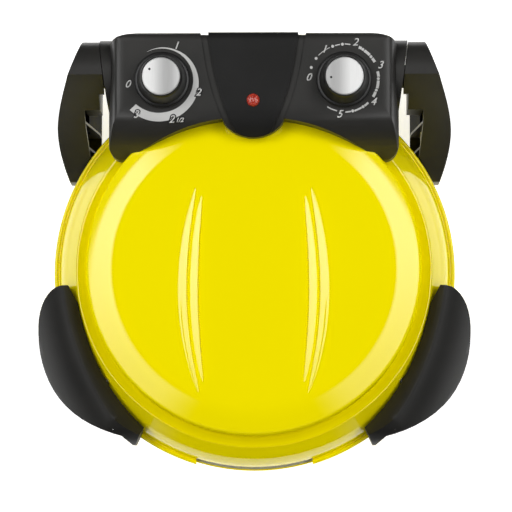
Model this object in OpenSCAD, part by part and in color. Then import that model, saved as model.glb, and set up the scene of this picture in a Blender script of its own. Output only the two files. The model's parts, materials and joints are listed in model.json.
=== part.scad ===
// Countertop pizza oven: a round pan with a refractory stone, and a heated lid that
// swings between two brackets at the rear. X is to the right, Y to the rear, Z up.
// The origin is on the table, under the middle of the whole outline.

/* [Stone and pan] */
// Diameter of the refractory stone
stone_d = 310; // [300:1:380]
// Thickness of the stone
stone_t = 13; // [10:0.5:18]
// Gap between the stone's edge and the tray round it
stone_gap = 1.5; // [0.5:0.1:4]
// Width of the metal flange from the stone's well to the pan's lip
flange_w = 16.5; // [14:0.5:26]
// Height of the pan's lip above the table
pan_rim_z = 80; // [74:1:100]
// Room under the pan's floor
foot_h = 14; // [10:1:24]
// Thickness of the pressed and painted steel
sheet_t = 1.2; // [0.8:0.1:2]
// Radius of the rolled bead round both lips
bead_r = 2; // [1.5:0.1:3]

/* [Lid] */
// How far the lid's lip stands out beyond the pan's
lip_over = 2; // [0:0.5:6]
// Gap that shows between the two lips
lip_gap = 4; // [3:0.5:8]
// Height of the crown above the lid's lip
lid_h = 76; // [64:1:92]
// Width of the notch at the front of the lid's lip
notch_w = 101; // [60:1:140]
// Height of the crescent ribs on the dome
rib_h = 1.4; // [0.8:0.1:2.5]
// Width of a crescent rib at its middle
rib_w = 5.4; // [3:0.1:8]

/* [Hinge] */
// How far the hinge axis lies inside the lid's lip
hinge_setin = 10; // [8:0.5:20]
// Height of the hinge axis above the lid's lip
hinge_rise = 52; // [48:1:66]
// Radius of the round knuckles
knuckle_r = 30; // [25:0.5:34]
// How far the housing's collars stand out past the knuckles
collar_over = 1.2; // [0:0.1:3]
// Gap between the housing's collars and the brackets
collar_gap = 0.6; // [0.4:0.1:1.5]
// Outer diameter of the hollow hinge pins
pin_d = 12; // [10:0.5:16]
// Bore through the hinge pins, for the lead
pin_bore = 8; // [5:0.5:12]
// Radial clearance of the hinge pins in the housing
pin_fit = 0.06; // [0.03:0.01:0.1]

/* [Control housing] */
// Half the width of the housing between its collars
panel_half_w = 125; // [120:1:140]
// Length of each collar towards its bracket
collar_len = 7.4; // [5:0.2:14]
// Height of the panel above the hinge axis
panel_rise = 40; // [36:1:50]
// Wall of the black mouldings
wall = 3; // [2:0.2:4]
// Distance of each knob from the middle
knob_x = 77.2; // [70:0.2:84]
// Distance of the knobs in front of the hinge axis
knob_y = 8.6; // [4:0.2:12]
// Distance of the pilot lamp in front of the hinge axis
lamp_y = 26; // [20:0.5:34]
// Diameter of the pilot lamp's lens
lamp_d = 11; // [8:0.2:14]

/* [Knobs] */
// Diameter over a knob's skirt
knob_d = 47.6; // [40:0.2:56]
// Diameter of the brushed cap
cap_d = 31.8; // [24:0.2:36]
// Height of a knob above the panel
knob_h = 22; // [12:0.5:28]
// Diameter of the control shafts
shaft_d = 6; // [5:0.5:8]

/* [Heating] */
// Diameter of the sheathed heating tube
tube_d = 6.5; // [5:0.5:8.5]
// Radius of the outer turn of each element
ring_out = 118; // [90:1:125]
// Radius of the inner turn of each element
ring_in = 72; // [50:1:80]
// Spacing of an element's two cold ends
leg_x = 14; // [10:1:20]

/* [Hidden] */
$fn = 96;

seat = 0.3;          // gap that is left where curved faces meet
cut = 1;             // how far a cutter runs past the face it opens
stone_r = stone_d / 2;
tray_r = stone_r + stone_gap;
pan_r = tray_r + flange_w;
lid_r = pan_r + lip_over;
rim_z = pan_rim_z + lip_gap;
hinge_y = lid_r - hinge_setin;
hinge_z = rim_z + hinge_rise;
panel_z = hinge_z + panel_rise;
rear_reach = 33;     // housing's rear face behind the hinge axis
gland_out = 4;       // how far the cord's gland stands out at the rear
axis_y = (pan_r - hinge_y - rear_reach - gland_out) / 2;
collar_end = panel_half_w + collar_len;  // outboard end of a collar
collar_r = knuckle_r + collar_over;
bracket_x = collar_end + collar_gap;

black = [0.13, 0.13, 0.13];
yellow = [1, 0.9, 0.05];
silver = [0.78, 0.78, 0.79];
rubber = [0.08, 0.08, 0.08];

// ---- Curves ----------------------------------------------------------------

// Points along a cubic curve with the four control points p
function bez(p, n) = [for (i = [0:n])
    let (t = i / n, s = 1 - t)
    s * s * s * p[0] + 3 * s * s * t * p[1] + 3 * s * t * t * p[2] + t * t * t * p[3]];

// Points along a circular arc
function arc(c, r, from, to, n) = [for (i = [0:n])
    let (a = from + (to - from) * i / n)
    c + r * [cos(a), sin(a)]];

// One outline from curves in turn; a point that two of them share is kept once
function chain(curves) = [for (i = [0:len(curves) - 1]) for (j = [0:len(curves[i]) - 1])
    if (i == 0 || j > 0 || norm(curves[i][0] - curves[i - 1][len(curves[i - 1]) - 1]) > 0.001) curves[i][j]];

function unit(v) = v / norm(v);
function left_of(a, b) = let (d = unit(b - a)) [-d[1], d[0]];
function reversed(p) = [for (i = [len(p) - 1:-1:0]) p[i]];
function shifted(p, d) = [for (q = p) q + d];
function mirrored(p) = [for (i = [len(p) - 1:-1:0]) [-p[i][0], p[i][1]]];

// The right half of an outline, with its mirror image, as one closed outline
function both_halves(half) = concat(half, [for (q = mirrored(half)) if (q[0] < -0.001) q]);

// A radial profile moved sideways, to its left where d is positive, and kept off the axis
function beside(p, d) = [for (i = [0:len(p) - 1])
    let (last = len(p) - 1,
        before = left_of(p[max(i - 1, 0)], p[max(i - 1, 0) + 1]),
        after = left_of(p[min(i, last - 1)], p[min(i, last - 1) + 1]),
        middle = unit(before + after),
        q = p[i] + d * middle / max(0.6, middle * before))
    [p[i][0] == 0 ? 0 : q[0], q[1]]];

// A closed outline moved sideways, to its left where d is positive
function closed_beside(p, d) = [for (i = [0:len(p) - 1])
    let (n = len(p),
        before = left_of(p[(i + n - 1) % n], p[i]),
        after = left_of(p[i], p[(i + 1) % n]),
        middle = unit(before + after))
    p[i] + d * middle / max(0.6, middle * before)];

// ---- Placing ---------------------------------------------------------------

// Everything is drawn about the pan's axis and then set on the origin
module place() translate([0, axis_y, 0]) children();

module both_sides() {
    children();
    mirror([1, 0, 0]) children();
}

module turned_shell(path, t) rotate_extrude($fn = 180) polygon(concat(path, reversed(beside(path, -t))));

// A section in Y and Z, drawn from x0 to x1
module along_x(points, x0, x1) translate([x0, 0, 0]) rotate([90, 0, 90])
    linear_extrude(x1 - x0) polygon(points);

// A section in X and Z, drawn from y0 to y1
module along_y(points, y0, y1) translate([0, y1, 0]) rotate([90, 0, 0])
    linear_extrude(y1 - y0) polygon(points);

module rod_x(r, x0, x1, y, z) translate([x0, y, z]) rotate([0, 90, 0]) cylinder(r = r, h = x1 - x0);
module rod_y(r, y0, y1, x, z) translate([x, y0, z]) rotate([-90, 0, 0]) cylinder(r = r, h = y1 - y0);

// ---- Profiles of the pressed shells ------------------------------------------

flange_edge = lid_r - 5;       // where the dome's wall meets its flat lip
tier_r = lid_r - 20;           // where the dome's shelf rolls over into its wall
tier_z = rim_z + lid_h - 41;
shelf_in = lid_r - 29.5;       // where the steep shoulder meets the shelf
crown_r = lid_r - 57;          // where the crown turns into the shoulder
top_z = rim_z + lid_h;

shoulder_curve = [[crown_r, top_z - 5.5], [crown_r + 15, top_z - 7.5], [shelf_in - 0.8, top_z - 12],
    [shelf_in, tier_z + 6]];
tier_curve = [[tier_r, tier_z], [tier_r + 8, tier_z - 2.5], [flange_edge - 0.8, rim_z + 24],
    [flange_edge, rim_z + 5]];

// Outer face of the dome from its middle to its lip
function dome_path() = chain([
    bez([[0, top_z], [50, top_z], [crown_r - 23, top_z - 3], [crown_r, top_z - 5.5]], 6),
    bez(shoulder_curve, 10),
    bez([[shelf_in, tier_z + 6], [shelf_in + 0.4, tier_z + 3.2], [shelf_in + 1.6, tier_z + 2.2],
        [shelf_in + 4, tier_z + 1.5]], 3),
    bez(tier_curve, 9),
    bez([[flange_edge, rim_z + 5], [flange_edge + 0.1, rim_z + 3.4], [flange_edge + 0.6, rim_z + 2.6],
        [lid_r - bead_r, rim_z + 2.6]], 3)]);

// Outer face of the pan from its bead to the middle of its floor
pan_wall_r = pan_r - bead_r - 1;
function pan_path() = chain([
    bez([[pan_wall_r, pan_rim_z - bead_r], [pan_wall_r - 0.5, pan_rim_z - 28], [pan_r - 22, foot_h + 7],
        [pan_r - 56, foot_h]], 12),
    [[pan_r - 56, foot_h], [0, foot_h]]]);

// Solid inside the dome's outer face and its lip, grown by g, down to z0
module dome_envelope(g, z0) rotate_extrude($fn = 180)
    polygon(concat([[0, z0]], [for (q = beside(dome_path(), g)) if (q[1] > rim_z + 5 - cut) q],
        [[lid_r + g, rim_z + 2 * bead_r + g], [lid_r + g, z0]]));

// Solid inside the pan's outer face and its lip, grown by g
module pan_envelope(g) rotate_extrude($fn = 180) let (under = pan_rim_z - 2 * bead_r - g)
    polygon(concat([[0, pan_rim_z + 2], [pan_r + g, pan_rim_z + 2], [pan_r + g, under], [pan_wall_r + g, under]],
        [for (q = beside(pan_path(), g)) if (q[1] < under) q]));

// ---- Base ------------------------------------------------------------------

ledge_z = pan_rim_z + 0.8 - 1.4 - stone_t;   // the stone's underside
ledge_w = 8;
tray_t = 0.8;
tray_floor = foot_h + 22;
element_low = tray_floor + 12;

module base_pan() color(yellow) place() difference() {
    union() {
        turned_shell(pan_path(), sheet_t);
        translate([0, 0, pan_rim_z - bead_r]) rotate_extrude($fn = 180)
            translate([pan_r - bead_r, 0]) circle(r = bead_r, $fn = 24);
    }
    translate([0, 0, foot_h - cut]) for (a = [0:60:300]) rotate(a + 30) translate([62, 0, 0])
        cylinder(r = 3, h = sheet_t + 2 * cut);
    lead_path(lead_d + 0.8);
    both_sides() for (a = pan_screws) on_pan(a, screw_t) translate([0, 0, -4]) cylinder(r = 1.7, h = 8);
}

function tray_path() = [[pan_r - 1.4, pan_rim_z + 0.8], [tray_r + 2, pan_rim_z + 0.8],
    [tray_r + 0.6, pan_rim_z + 0.2], [tray_r, pan_rim_z - 1.2], [tray_r, ledge_z],
    [tray_r - ledge_w, ledge_z], [tray_r - ledge_w, tray_floor + 6], [tray_r - ledge_w - 2, tray_floor + 2],
    [tray_r - ledge_w - 6, tray_floor], [0, tray_floor]];

module pan_liner() color(silver) place() difference() {
    rotate_extrude($fn = 180) polygon(concat(tray_path(), reversed(beside(tray_path(), tray_t))));
    both_sides() rod_y(tube_d / 2 + 1.2, tray_r - ledge_w - 12, tray_r, leg_x, element_low);
}

module stone() color([0.85, 0.78, 0.66]) place() translate([0, 0, ledge_z]) rotate_extrude($fn = 180)
    polygon([[0, 0], [stone_r - 1.5, 0], [stone_r, 1.5], [stone_r, stone_t - 2.5],
        [stone_r - 0.8, stone_t - 0.8], [stone_r - 2.5, stone_t], [0, stone_t]]);

clip_angles = [35, 145, 215, 325];
function clip_path() = [[stone_r - 7, ledge_z + stone_t], [stone_r - 3, ledge_z + stone_t],
    [tray_r + 0.4, pan_rim_z + 1.1], [tray_r + 3, pan_rim_z + 0.8], [tray_r + 10, pan_rim_z + 0.8]];

// Spring clips that hook the stone down: one leg on the flange and a tongue over the stone
module stone_clips() color(silver) place() for (a = clip_angles) rotate(a)
    along_y(concat(clip_path(), reversed(beside(clip_path(), 0.9))), -7, 7);

// One bent tube: two legs, an outer turn in two halves and an inner turn, joined by bends
bend_r = 14;
turn_gap = 9;
module heater(z, leg_end) {
    mid = (ring_out + ring_in) / 2;
    u_r = (ring_out - ring_in) / 2;
    bend_x = leg_x + bend_r;
    bend_y = sqrt(pow(ring_out + bend_r, 2) - pow(bend_x, 2));
    meet = atan2(bend_y, bend_x);
    translate([0, 0, z]) {
        rotate(270 + turn_gap) tube_arc(ring_in, 360 - 2 * turn_gap);
        both_sides() {
            rotate(270 + turn_gap) tube_arc(ring_out, 90 - turn_gap + meet);
            rotate(270 + turn_gap) translate([mid, 0, 0]) rotate(180) tube_arc(u_r, 180);
            translate([bend_x, bend_y, 0]) rotate(180) tube_arc(bend_r, meet);
            rod_y(tube_d / 2, bend_y, leg_end, leg_x, 0);
            rotate(meet) rod_y(tube_d / 2 + 0.05, -3, 3, ring_out, 0);
        }
    }
}

module tube_arc(r, sweep, d = tube_d) rotate_extrude(angle = sweep, $fn = 96) translate([r, 0])
    circle(d = d, $fn = 24);

module lower_element() color([0.35, 0.34, 0.33]) place() heater(element_low, tray_r - 2);

// Straps that stand on a sheet at z0 and cradle both turns at z
strap_w = tube_d + 3;
module strap_clips(z0, z) for (a = [45, 135, 225, 315]) rotate(a) for (r = [ring_in, ring_out]) {
    under = z - tube_d / 2 - 1.2;
    low = min(z0, under);
    high = max(z0, z);
    difference() {
        translate([r - strap_w / 2, -5, low]) cube([strap_w, 10, high - low]);
        translate([0, 0, z]) rotate(-20) tube_arc(r, 40, tube_d + 0.2);
        if (z0 < z) translate([r - strap_w / 2 + 1.2, -5 - cut, z0 + 1])
            cube([strap_w - 2.4, 10 + 2 * cut, under - z0 - 1]);
        if (z0 > z) translate([r - tube_d / 2 - 0.1, -5 - cut, z])
            cube([tube_d + 0.2, 10 + 2 * cut, z0 - z - 1]);
    }
}

module lower_element_clips() color(silver) place() strap_clips(tray_floor, element_low);

// Ceramic collars on the two cold ends of an element
module terminals(z, y0) both_sides() difference() {
    rod_y(6, y0, y0 + 5, leg_x, z);
    rod_y(tube_d / 2 + 0.05, y0 - cut, y0 + 5 + cut, leg_x, z);
}

module lower_terminals() color("white") place() terminals(element_low, tray_r - 7);

// ---- Hinge brackets ---------------------------------------------------------

ear_front = hinge_y - 84;
ear_neck = hinge_y - 27.5;               // front face of the knuckle block
ear_foot = 4;
block_z = hinge_z - 44;                  // underside of the knuckle block
ear_wall = 3.2;

// Side view of a bracket, as seen from the right: back edge, knuckle, slope, tip and foot
function ear_side() = shifted(chain([
    bez([[22, ear_foot - hinge_z], [26, -90], [knuckle_r, -40], [knuckle_r, 0]], 6),
    arc([0, 0], knuckle_r, 0, 94, 14),
    bez([[knuckle_r * cos(94), knuckle_r * sin(94)], [-20, 4], [-48, -44], [-84, rim_z - 12 - hinge_z]], 10),
    bez([[-84, rim_z - 12 - hinge_z], [-88, rim_z - 24 - hinge_z], [-84, 40 - hinge_z],
        [-72, ear_foot - hinge_z]], 5)]), [hinge_y, hinge_z]);

// Plan of the outer face, from the knuckle's rear over its widest place to the tip
function ear_face() = shifted(chain([
    bez([[-29, 33], [-24.4, 18], [-18.2, 1], [-11.7, -14]], 6),
    bez([[-11.7, -14], [-7, -25.5], [-3.7, -36], [-3.7, -46.5]], 7),
    bez([[-3.7, -46.5], [-3.7, -58], [-6.8, -72], [-14.4, -90]], 7)]), [lid_r, hinge_y]);

// Plan of a bracket between that face and a straight inner face at x0, pulled in by g
module ear_plan(x0, g) linear_extrude(panel_z)
    polygon(closed_beside(reversed(concat(ear_face(), [[x0, hinge_y - 90], [x0, hinge_y + 33]])), g));

// The inner face leans: further in at the foot than at the top
ear_low_x = lid_r - 35.5;
ear_high_x = lid_r - 28.5;
function ear_lean() = [[ear_low_x, 0], [ear_low_x, 30], [ear_high_x, rim_z + 26],
    [ear_high_x, panel_z], [lid_r, panel_z], [lid_r, 0]];

module ear_body() intersection() {
    along_x(ear_side(), bracket_x, lid_r);
    ear_plan(bracket_x, 0);
    union() {
        along_y(ear_lean(), ear_front - 10, hinge_y + knuckle_r + 5);
        translate([bracket_x, ear_neck, block_z]) cube([ear_high_x + 5 - bracket_x, 80, 100]);
    }
}

ear_ribs = [hinge_y - 57, hinge_y - 37];
boss_r = pin_d / 2 + 4;
boss_x = bracket_x + 9;                  // outboard end of the pin's boss
lead_d = 5;
grommet_r = lead_d / 2 + 0.1;

// The seam between a collar and its knuckle slants: the collar is longer at its rear
seam_front = 8;                          // how much shorter the collar is at its front
seam_least = 4.4;                        // how far the knuckle reaches in at most
function seam_x(y) = collar_end - seam_front * (collar_r - (y - hinge_y)) / (2 * collar_r);

// Everything outboard of the seam, moved outboard by g
module beyond_seam(g) linear_extrude(panel_z) polygon([
    [seam_x(hinge_y + collar_r) + g, hinge_y + collar_r], [seam_x(hinge_y - collar_r) + g, hinge_y - collar_r],
    [lid_r, hinge_y - collar_r], [lid_r, hinge_y + collar_r]]);

// The upper part of the knuckle follows the slanted seam; it is clear of the turning collar
module knuckle_cheek() difference() {
    intersection() {
        along_x(ear_side(), bracket_x - seam_least, bracket_x + ear_wall);
        beyond_seam(collar_gap);
        translate([0, hinge_y - 16, hinge_z + 4]) cube([lid_r, 60, 60]);
    }
    rod_x(boss_r + 3, 0, lid_r, hinge_y, hinge_z);
}

module bracket() difference() {
    union() {
        difference() {
            ear_body();
            bracket_hollow();
        }
        intersection() {
            ear_body();
            union() {
                rod_x(boss_r, bracket_x, boss_x, hinge_y, hinge_z);
                for (y = ear_ribs) translate([ear_low_x, y, 0]) cube([40, 2, panel_z]);
                translate([ear_low_x, ear_front - 5, 30]) cube([40, 36, 2.5]);
            }
        }
        bracket_saddle();
        knuckle_cheek();
    }
    rod_x(pin_d / 2 + pin_fit, bracket_x - cut, boss_x + cut, hinge_y, hinge_z);
    pan_envelope(seat);
    translate([0, 0, pan_rim_z + 1]) cylinder(r = lid_r + 1.5, h = panel_z);
    for (p = bracket_pads) translate([p[0], p[1], 0]) cylinder(r = peg_r + 0.1, h = ear_foot + ear_wall + cut);
    for (a = bracket_screws) on_pan(a, screw_t) cylinder(r = screw_hole, h = 14);
    lead_path(lead_d + 0.6);
}

// The moulding is open towards the pan, but its knuckle block has an inner wall, a front and a floor
module bracket_hollow() difference() {
    intersection() {
        along_x(closed_beside(ear_side(), ear_wall), bracket_x - cut, lid_r);
        ear_plan(bracket_x - 20, ear_wall);
    }
    difference() {
        translate([0, ear_neck, block_z]) cube([ear_high_x, 130, 100]);
        translate([bracket_x + ear_wall, ear_neck + ear_wall, block_z + ear_wall]) cube([100, 130, 100]);
    }
}

// A web below the lip that follows the pan's wall and takes the bracket's screws
module bracket_saddle() {
    intersection() {
        translate([lid_r - 60, ear_front + 6, 40]) cube([34, 28, 26]);
        cylinder(r = lid_r - 2, h = panel_z);
    }
    intersection() {
        ear_body();
        translate([0, ear_front - 10, 40]) cube([lid_r, 32, 26]);
    }
}

module hinge_bracket_right() color(black) place() bracket();
module hinge_bracket_left() color(black) place() mirror([1, 0, 0]) bracket();

cover_t = 2;
cover_top_x = ear_low_x + (ear_high_x - ear_low_x) * (block_z - 30) / (rim_z - 4);

// Flat covers over the rear half of each bracket's hollow, below its knuckle block
module bracket_covers() color(black) place() both_sides() intersection() {
    along_x(closed_beside(ear_side(), ear_wall + 0.25), bracket_x, lid_r);
    ear_plan(bracket_x, ear_wall + 0.25);
    along_y([[ear_low_x, ear_foot], [ear_low_x, 30], [cover_top_x, block_z - seat],
        [cover_top_x + cover_t, block_z - seat], [ear_low_x + cover_t, 30], [ear_low_x + cover_t, ear_foot]],
        ear_ribs[1] + 2.2, hinge_y + knuckle_r);
}

// ---- Hinge pins --------------------------------------------------------------

collar_in = panel_half_w - 5;            // inboard face of a collar's boss
pin_head_t = 2.5;

module hinge_pin() difference() {
    union() {
        rod_x(pin_d / 2, collar_in - 0.3, boss_x + 3, hinge_y, hinge_z);
        rod_x(pin_d / 2 + 2.5, collar_in - 0.3 - pin_head_t, collar_in - 0.3, hinge_y, hinge_z);
    }
    rod_x(pin_bore / 2, collar_in - 5, boss_x + 5, hinge_y, hinge_z);
    difference() {
        rod_x(pin_d / 2 + 1, boss_x + 0.1, boss_x + 1.3, hinge_y, hinge_z);
        rod_x(pin_d / 2 - 0.8, boss_x, boss_x + 2, hinge_y, hinge_z);
    }
}

module hinge_pin_right() color(silver) place() hinge_pin();
module hinge_pin_left() color(silver) place() mirror([1, 0, 0]) hinge_pin();

module hinge_washers() color([0.9, 0.9, 0.86]) place() both_sides() difference() {
    rod_x(pin_d / 2 + 5, collar_end + 0.1, bracket_x, hinge_y, hinge_z);
    rod_x(pin_d / 2 + pin_fit, collar_end - cut, bracket_x + cut, hinge_y, hinge_z);
}

module hinge_clips() color(silver) place() both_sides() difference() {
    rod_x(pin_d / 2 + 2.2, boss_x + 0.2, boss_x + 1.2, hinge_y, hinge_z);
    rod_x(pin_d / 2 - 0.75, boss_x, boss_x + 2, hinge_y, hinge_z);
    translate([boss_x, hinge_y - 2.4, hinge_z - pin_d]) cube([2, 4.8, pin_d]);
}

// ---- Lead across the hinge -----------------------------------------------------

lead_out = boss_x + 7.6;
lead_bend = 8;
lead_z = element_low;
lead_y = ear_front + 20;
lead_ring = tray_r - ledge_w + tray_t + lead_d / 2 + 0.6;
lead_in = sqrt(pow(lead_ring, 2) - pow(lead_y, 2));

// Straight pieces and bends; a step is [length, bend angle, turn about the heading]
module run(steps, d, i = 0) if (i < len(steps)) {
    s = steps[i];
    cylinder(d = d, h = s[0]);
    translate([0, 0, s[0]]) rotate(s[2]) {
        if (s[1] > 0) translate([lead_bend, 0, 0]) rotate([90, 0, 0]) rotate(180 - s[1])
            rotate_extrude(angle = s[1], $fn = 72) translate([lead_bend, 0]) circle(d = d, $fn = 24);
        translate([lead_bend * (1 - cos(s[1])), 0, lead_bend * sin(s[1])]) rotate([0, s[1], 0])
            run(steps, d, i + 1);
    }
}

// Along the hinge axis, down inside the right bracket, forwards and in through its saddle
module lead_path(d) translate([collar_in - 14, hinge_y, hinge_z]) rotate([0, 90, 0])
    run([[lead_out - collar_in + 14 - lead_bend, 90, 0], [hinge_z - lead_z - 2 * lead_bend, 90, 270],
        [hinge_y - lead_y - 2 * lead_bend, 90, 90],
        [lead_out - lead_bend - lead_in, 0, 0]], d);

// From the saddle it runs round between tray and pan to the element's cold ends
module bridge_lead() color([0.8, 0.8, 0.78]) place() {
    lead_path(lead_d);
    start = atan2(lead_y, lead_in) - 0.5;
    translate([0, 0, lead_z]) rotate(start) tube_arc(lead_ring, 80 - start, lead_d);
}

// ---- Lower handles and feet ------------------------------------------------------

handle_c = [lid_r - 255, 12];    // middle of the wing's long arc, in plan
crest_r = 246;

// Outer edge of a handle's lobe in plan, from its rear end to the wing
function lobe_edge() = shifted(chain([
    bez([[-14.8, -14.2], [-9.5, -14.2], [-4.2, -15], [-1, -18]], 3),
    bez([[-1, -18], [8.4, -25.5], [12.9, -38.5], [12.5, -55]], 7),
    bez([[12.5, -55], [13, -77], [5.5, -100.5], [-11.3, -116.9]], 8),
    bez([[-11.3, -116.9], [-25, -131], [-45, -139.5], [-60.7, -143.2]], 6)]), [lid_r, 0]);

// Plan of the lobe, pulled in by g, and closed under the dome
function lobe_plan(g) = closed_beside(reversed(concat(lobe_edge(), [[lid_r - 85, -126], [lid_r - 30, -42]])), g);

// Plan of a whole handle: the lobe with the tip of the wing
function handle_plan() = reversed(concat(lobe_edge(), shifted([[-70, -151], [-72.6, -151], [-77, -142],
    [-85, -126], [-30, -42]], [lid_r, 0])));

module about_handle(points) translate(handle_c) rotate(-60) rotate_extrude(angle = 75, $fn = 240)
    polygon(points);

low_step = 4;
module lower_handle() difference() {
    intersection() {
        translate([0, 0, ear_foot]) linear_extrude(pan_rim_z) polygon(lobe_plan(low_step));
        about_handle(concat([[190, ear_foot], [190, pan_rim_z - 1], [crest_r, pan_rim_z - 1]],
            bez([[crest_r, pan_rim_z - 1], [crest_r + 3, 60], [crest_r + 14, 50], [crest_r + 26, 46]], 8),
            [[crest_r + 28, 40], [crest_r + 22, ear_foot]]));
    }
    pan_envelope(seat);
    intersection() {
        linear_extrude(60) polygon(lobe_plan(low_step + wall));
        difference() {
            about_handle([[190, -1], [190, 34], [crest_r + 14, 34], [crest_r + 22, 20], [crest_r + 18, -1]]);
            pan_envelope(seat + wall);
            for (a = [-12, -26, -40]) translate(handle_c) rotate(a) translate([200, -1.2, 0]) cube([80, 2.4, 60]);
            for (p = handle_pads) translate([p[0], p[1], 0]) cylinder(r = peg_r + 4, h = 60);
        }
    }
    for (p = handle_pads) translate([p[0], p[1], 0]) cylinder(r = peg_r + 0.1, h = 10);
    for (a = lower_handle_screws) on_pan(a, screw_t) cylinder(r = screw_hole, h = 14);
}

module lower_handle_right() color(black) place() lower_handle();
module lower_handle_left() color(black) place() mirror([1, 0, 0]) lower_handle();

pad_r = 7.4;
peg_r = 3;
bracket_pads = [[lid_r - 18, hinge_y - 62], [lid_r - 27.6, hinge_y + 6]];
handle_pads = [[lid_r - 5, -44], [lid_r - 32, -108]];

module pad() {
    cylinder(r1 = pad_r - 1, r2 = pad_r, h = ear_foot);
    cylinder(r = peg_r, h = ear_foot + 3);
}

module foot_pads() color(rubber) place() both_sides() {
    for (p = concat(bracket_pads, handle_pads)) translate([p[0], p[1], 0]) pad();
}

// ---- Screws ---------------------------------------------------------------------

pan_curve = [[pan_wall_r, pan_rim_z - bead_r], [pan_wall_r - 0.5, pan_rim_z - 28], [pan_r - 22, foot_h + 7],
    [pan_r - 56, foot_h]];
screw_t = 0.3;
bracket_screws = [32.4, 44];
lower_handle_screws = [-17, -39];
pan_screws = concat(bracket_screws, lower_handle_screws);
screw_r = 1.5;
screw_hole = screw_r + 0.05;

function at(p, t) = let (s = 1 - t)
    s * s * s * p[0] + 3 * s * s * t * p[1] + 3 * s * t * t * p[2] + t * t * t * p[3];
function heading(p, t) = let (d = at(p, t + 0.01) - at(p, t - 0.01)) atan2(d[1], d[0]);

// Stand on a shell's outer face, at angle a round the axis, with Z pointing away from it
module on_curve(a, curve, t) rotate(a) translate([at(curve, t)[0], 0, at(curve, t)[1]])
    rotate([0, -heading(curve, t), 0]) children();
module on_pan(a, t) on_curve(a, pan_curve, t) children();
module on_tier(a, t) on_curve(a, tier_curve, t) children();
module on_shoulder(a, t) on_curve(a, shoulder_curve, t) children();

// Pan-head screw whose head bears on the inner face of a sheet at z = -t
module screw(t, h) {
    translate([0, 0, -t - 2.5]) cylinder(r1 = 2.6, r2 = 3.4, h = 2);
    translate([0, 0, -t - 1]) cylinder(r = screw_r, h = h);
}

module base_screws() color(silver) place() both_sides() for (a = pan_screws)
    on_pan(a, screw_t) screw(sheet_t, 13);

// ---- Lid shell ---------------------------------------------------------------------

// Arc that bulges by s to the right, between two ends at x
function bow(x, y0, y1, s, n) = let (half = (y1 - y0) / 2, r = (half * half + s * s) / (2 * s),
    sweep = asin(half / r))
    arc([x + s - r, (y0 + y1) / 2], r, -sweep, sweep, n);

// Crescent that tapers to a point at both ends
function crescent(x, y0, y1, s, w) = let (out = bow(x, y0, y1, s + w / 2, 20), in = bow(x, y0, y1, s - w / 2, 20))
    concat(out, [for (i = [19:-1:1]) in[i]]);

ribs = [[46.5, -98, 56, 9.3], [49.5, -109, 66, 13.2]];

module dome_ribs() both_sides() difference() {
    intersection() {
        dome_envelope(rib_h, rim_z);
        for (q = ribs) linear_extrude(top_z + 10) polygon(crescent(q[0], q[1], q[2], q[3], rib_w));
    }
    dome_envelope(-sheet_t / 2, 0);
}

lid_cold_z = tier_z + 1;      // where the element's cold ends pass through the dome
bulb_z = tier_z - 11;
bulb_a = 119;                 // direction of the thermostat's bulb
housing_tier_screws = [46];
housing_shoulder_screws = [80];
lid_handle_screws = [-15, -37];

module lid_dome() color(yellow) place() difference() {
    union() {
        turned_shell(dome_path(), sheet_t);
        translate([0, 0, rim_z + bead_r]) rotate_extrude($fn = 180)
            translate([lid_r - bead_r, 0]) circle(r = bead_r, $fn = 24);
        dome_ribs();
    }
    lip_notch();
    both_sides() {
        rod_y(tube_d / 2 + 1.2, tray_r - 20, lid_r, leg_x, lid_cold_z);
        for (a = concat(housing_tier_screws, lid_handle_screws)) on_tier(a, screw_t)
            translate([0, 0, -4]) cylinder(r = 1.7, h = 8);
        for (a = housing_shoulder_screws) on_shoulder(a, screw_t) translate([0, 0, -4]) cylinder(r = 1.7, h = 8);
    }
    rotate(bulb_a) translate([tray_r - 20, 0, bulb_z]) rotate([0, 90, 0]) cylinder(d = bulb_d + 0.6, h = 60);
}

// The lip is cut away at the front, so that steam leaves and the flange shows
module lip_notch() intersection() {
    difference() {
        translate([0, 0, rim_z - cut]) cylinder(r = lid_r + cut, h = 6 + cut, $fn = 180);
        translate([0, 0, rim_z - 2 * cut]) cylinder(r = flange_edge - 1.5, h = 8 + 2 * cut, $fn = 180);
    }
    translate([-notch_w / 2, -lid_r - cut, rim_z - cut]) cube([notch_w, lid_r, 20]);
}

ceiling_z = rim_z + lid_h - 26;
element_high = ceiling_z - 14;
liner_r = tray_r + 3;
function liner_path() = concat([[flange_edge - 1.6, rim_z + 2.4]],
    bez([[liner_r, rim_z + 2.4], [liner_r - 2.5, rim_z + 10], [liner_r - 8, ceiling_z - 22],
        [liner_r - 24, ceiling_z - 5]], 8),
    [[liner_r - 36, ceiling_z], [0, ceiling_z]]);

module lid_liner() color(silver) place() difference() {
    rotate_extrude($fn = 180) polygon(concat(liner_path(), reversed(beside(liner_path(), -tray_t))));
    both_sides() rod_y(tube_d / 2 + 1.2, tray_r - 30, tray_r + 6, leg_x, element_high);
    rotate(bulb_a) translate([tray_r - 30, 0, bulb_z]) rotate([0, 90, 0]) cylinder(d = bulb_d + 0.6, h = 40);
}

module upper_element() color([0.35, 0.34, 0.33]) place() heater(element_high, tier_r + 18);

module upper_element_clips() color(silver) place() strap_clips(ceiling_z, element_high);

module upper_terminals() color("white") place() terminals(element_high, tier_r + 10);

// ---- Control housing -------------------------------------------------------------------

w = panel_half_w;

// Right half of the plan, from the tip of the tongue round to the middle of the rear edge
function housing_half() = chain([
    bez([[0, -56.4], [12, -56.4], [23.5, -49.6], [26.2, -41.4]], 8),
    bez([[26.2, -41.4], [w - 56, -46.5], [w - 31, -67.5], [w - 14, -72.4]], 12),
    bez([[w - 14, -72.4], [w - 7, -74.2], [w - 1, -68], [w, -59]], 6),
    bez([[w, 18], [w - 0.5, 27], [w - 12, rear_reach], [w - 35, rear_reach]], 8)]);

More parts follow.
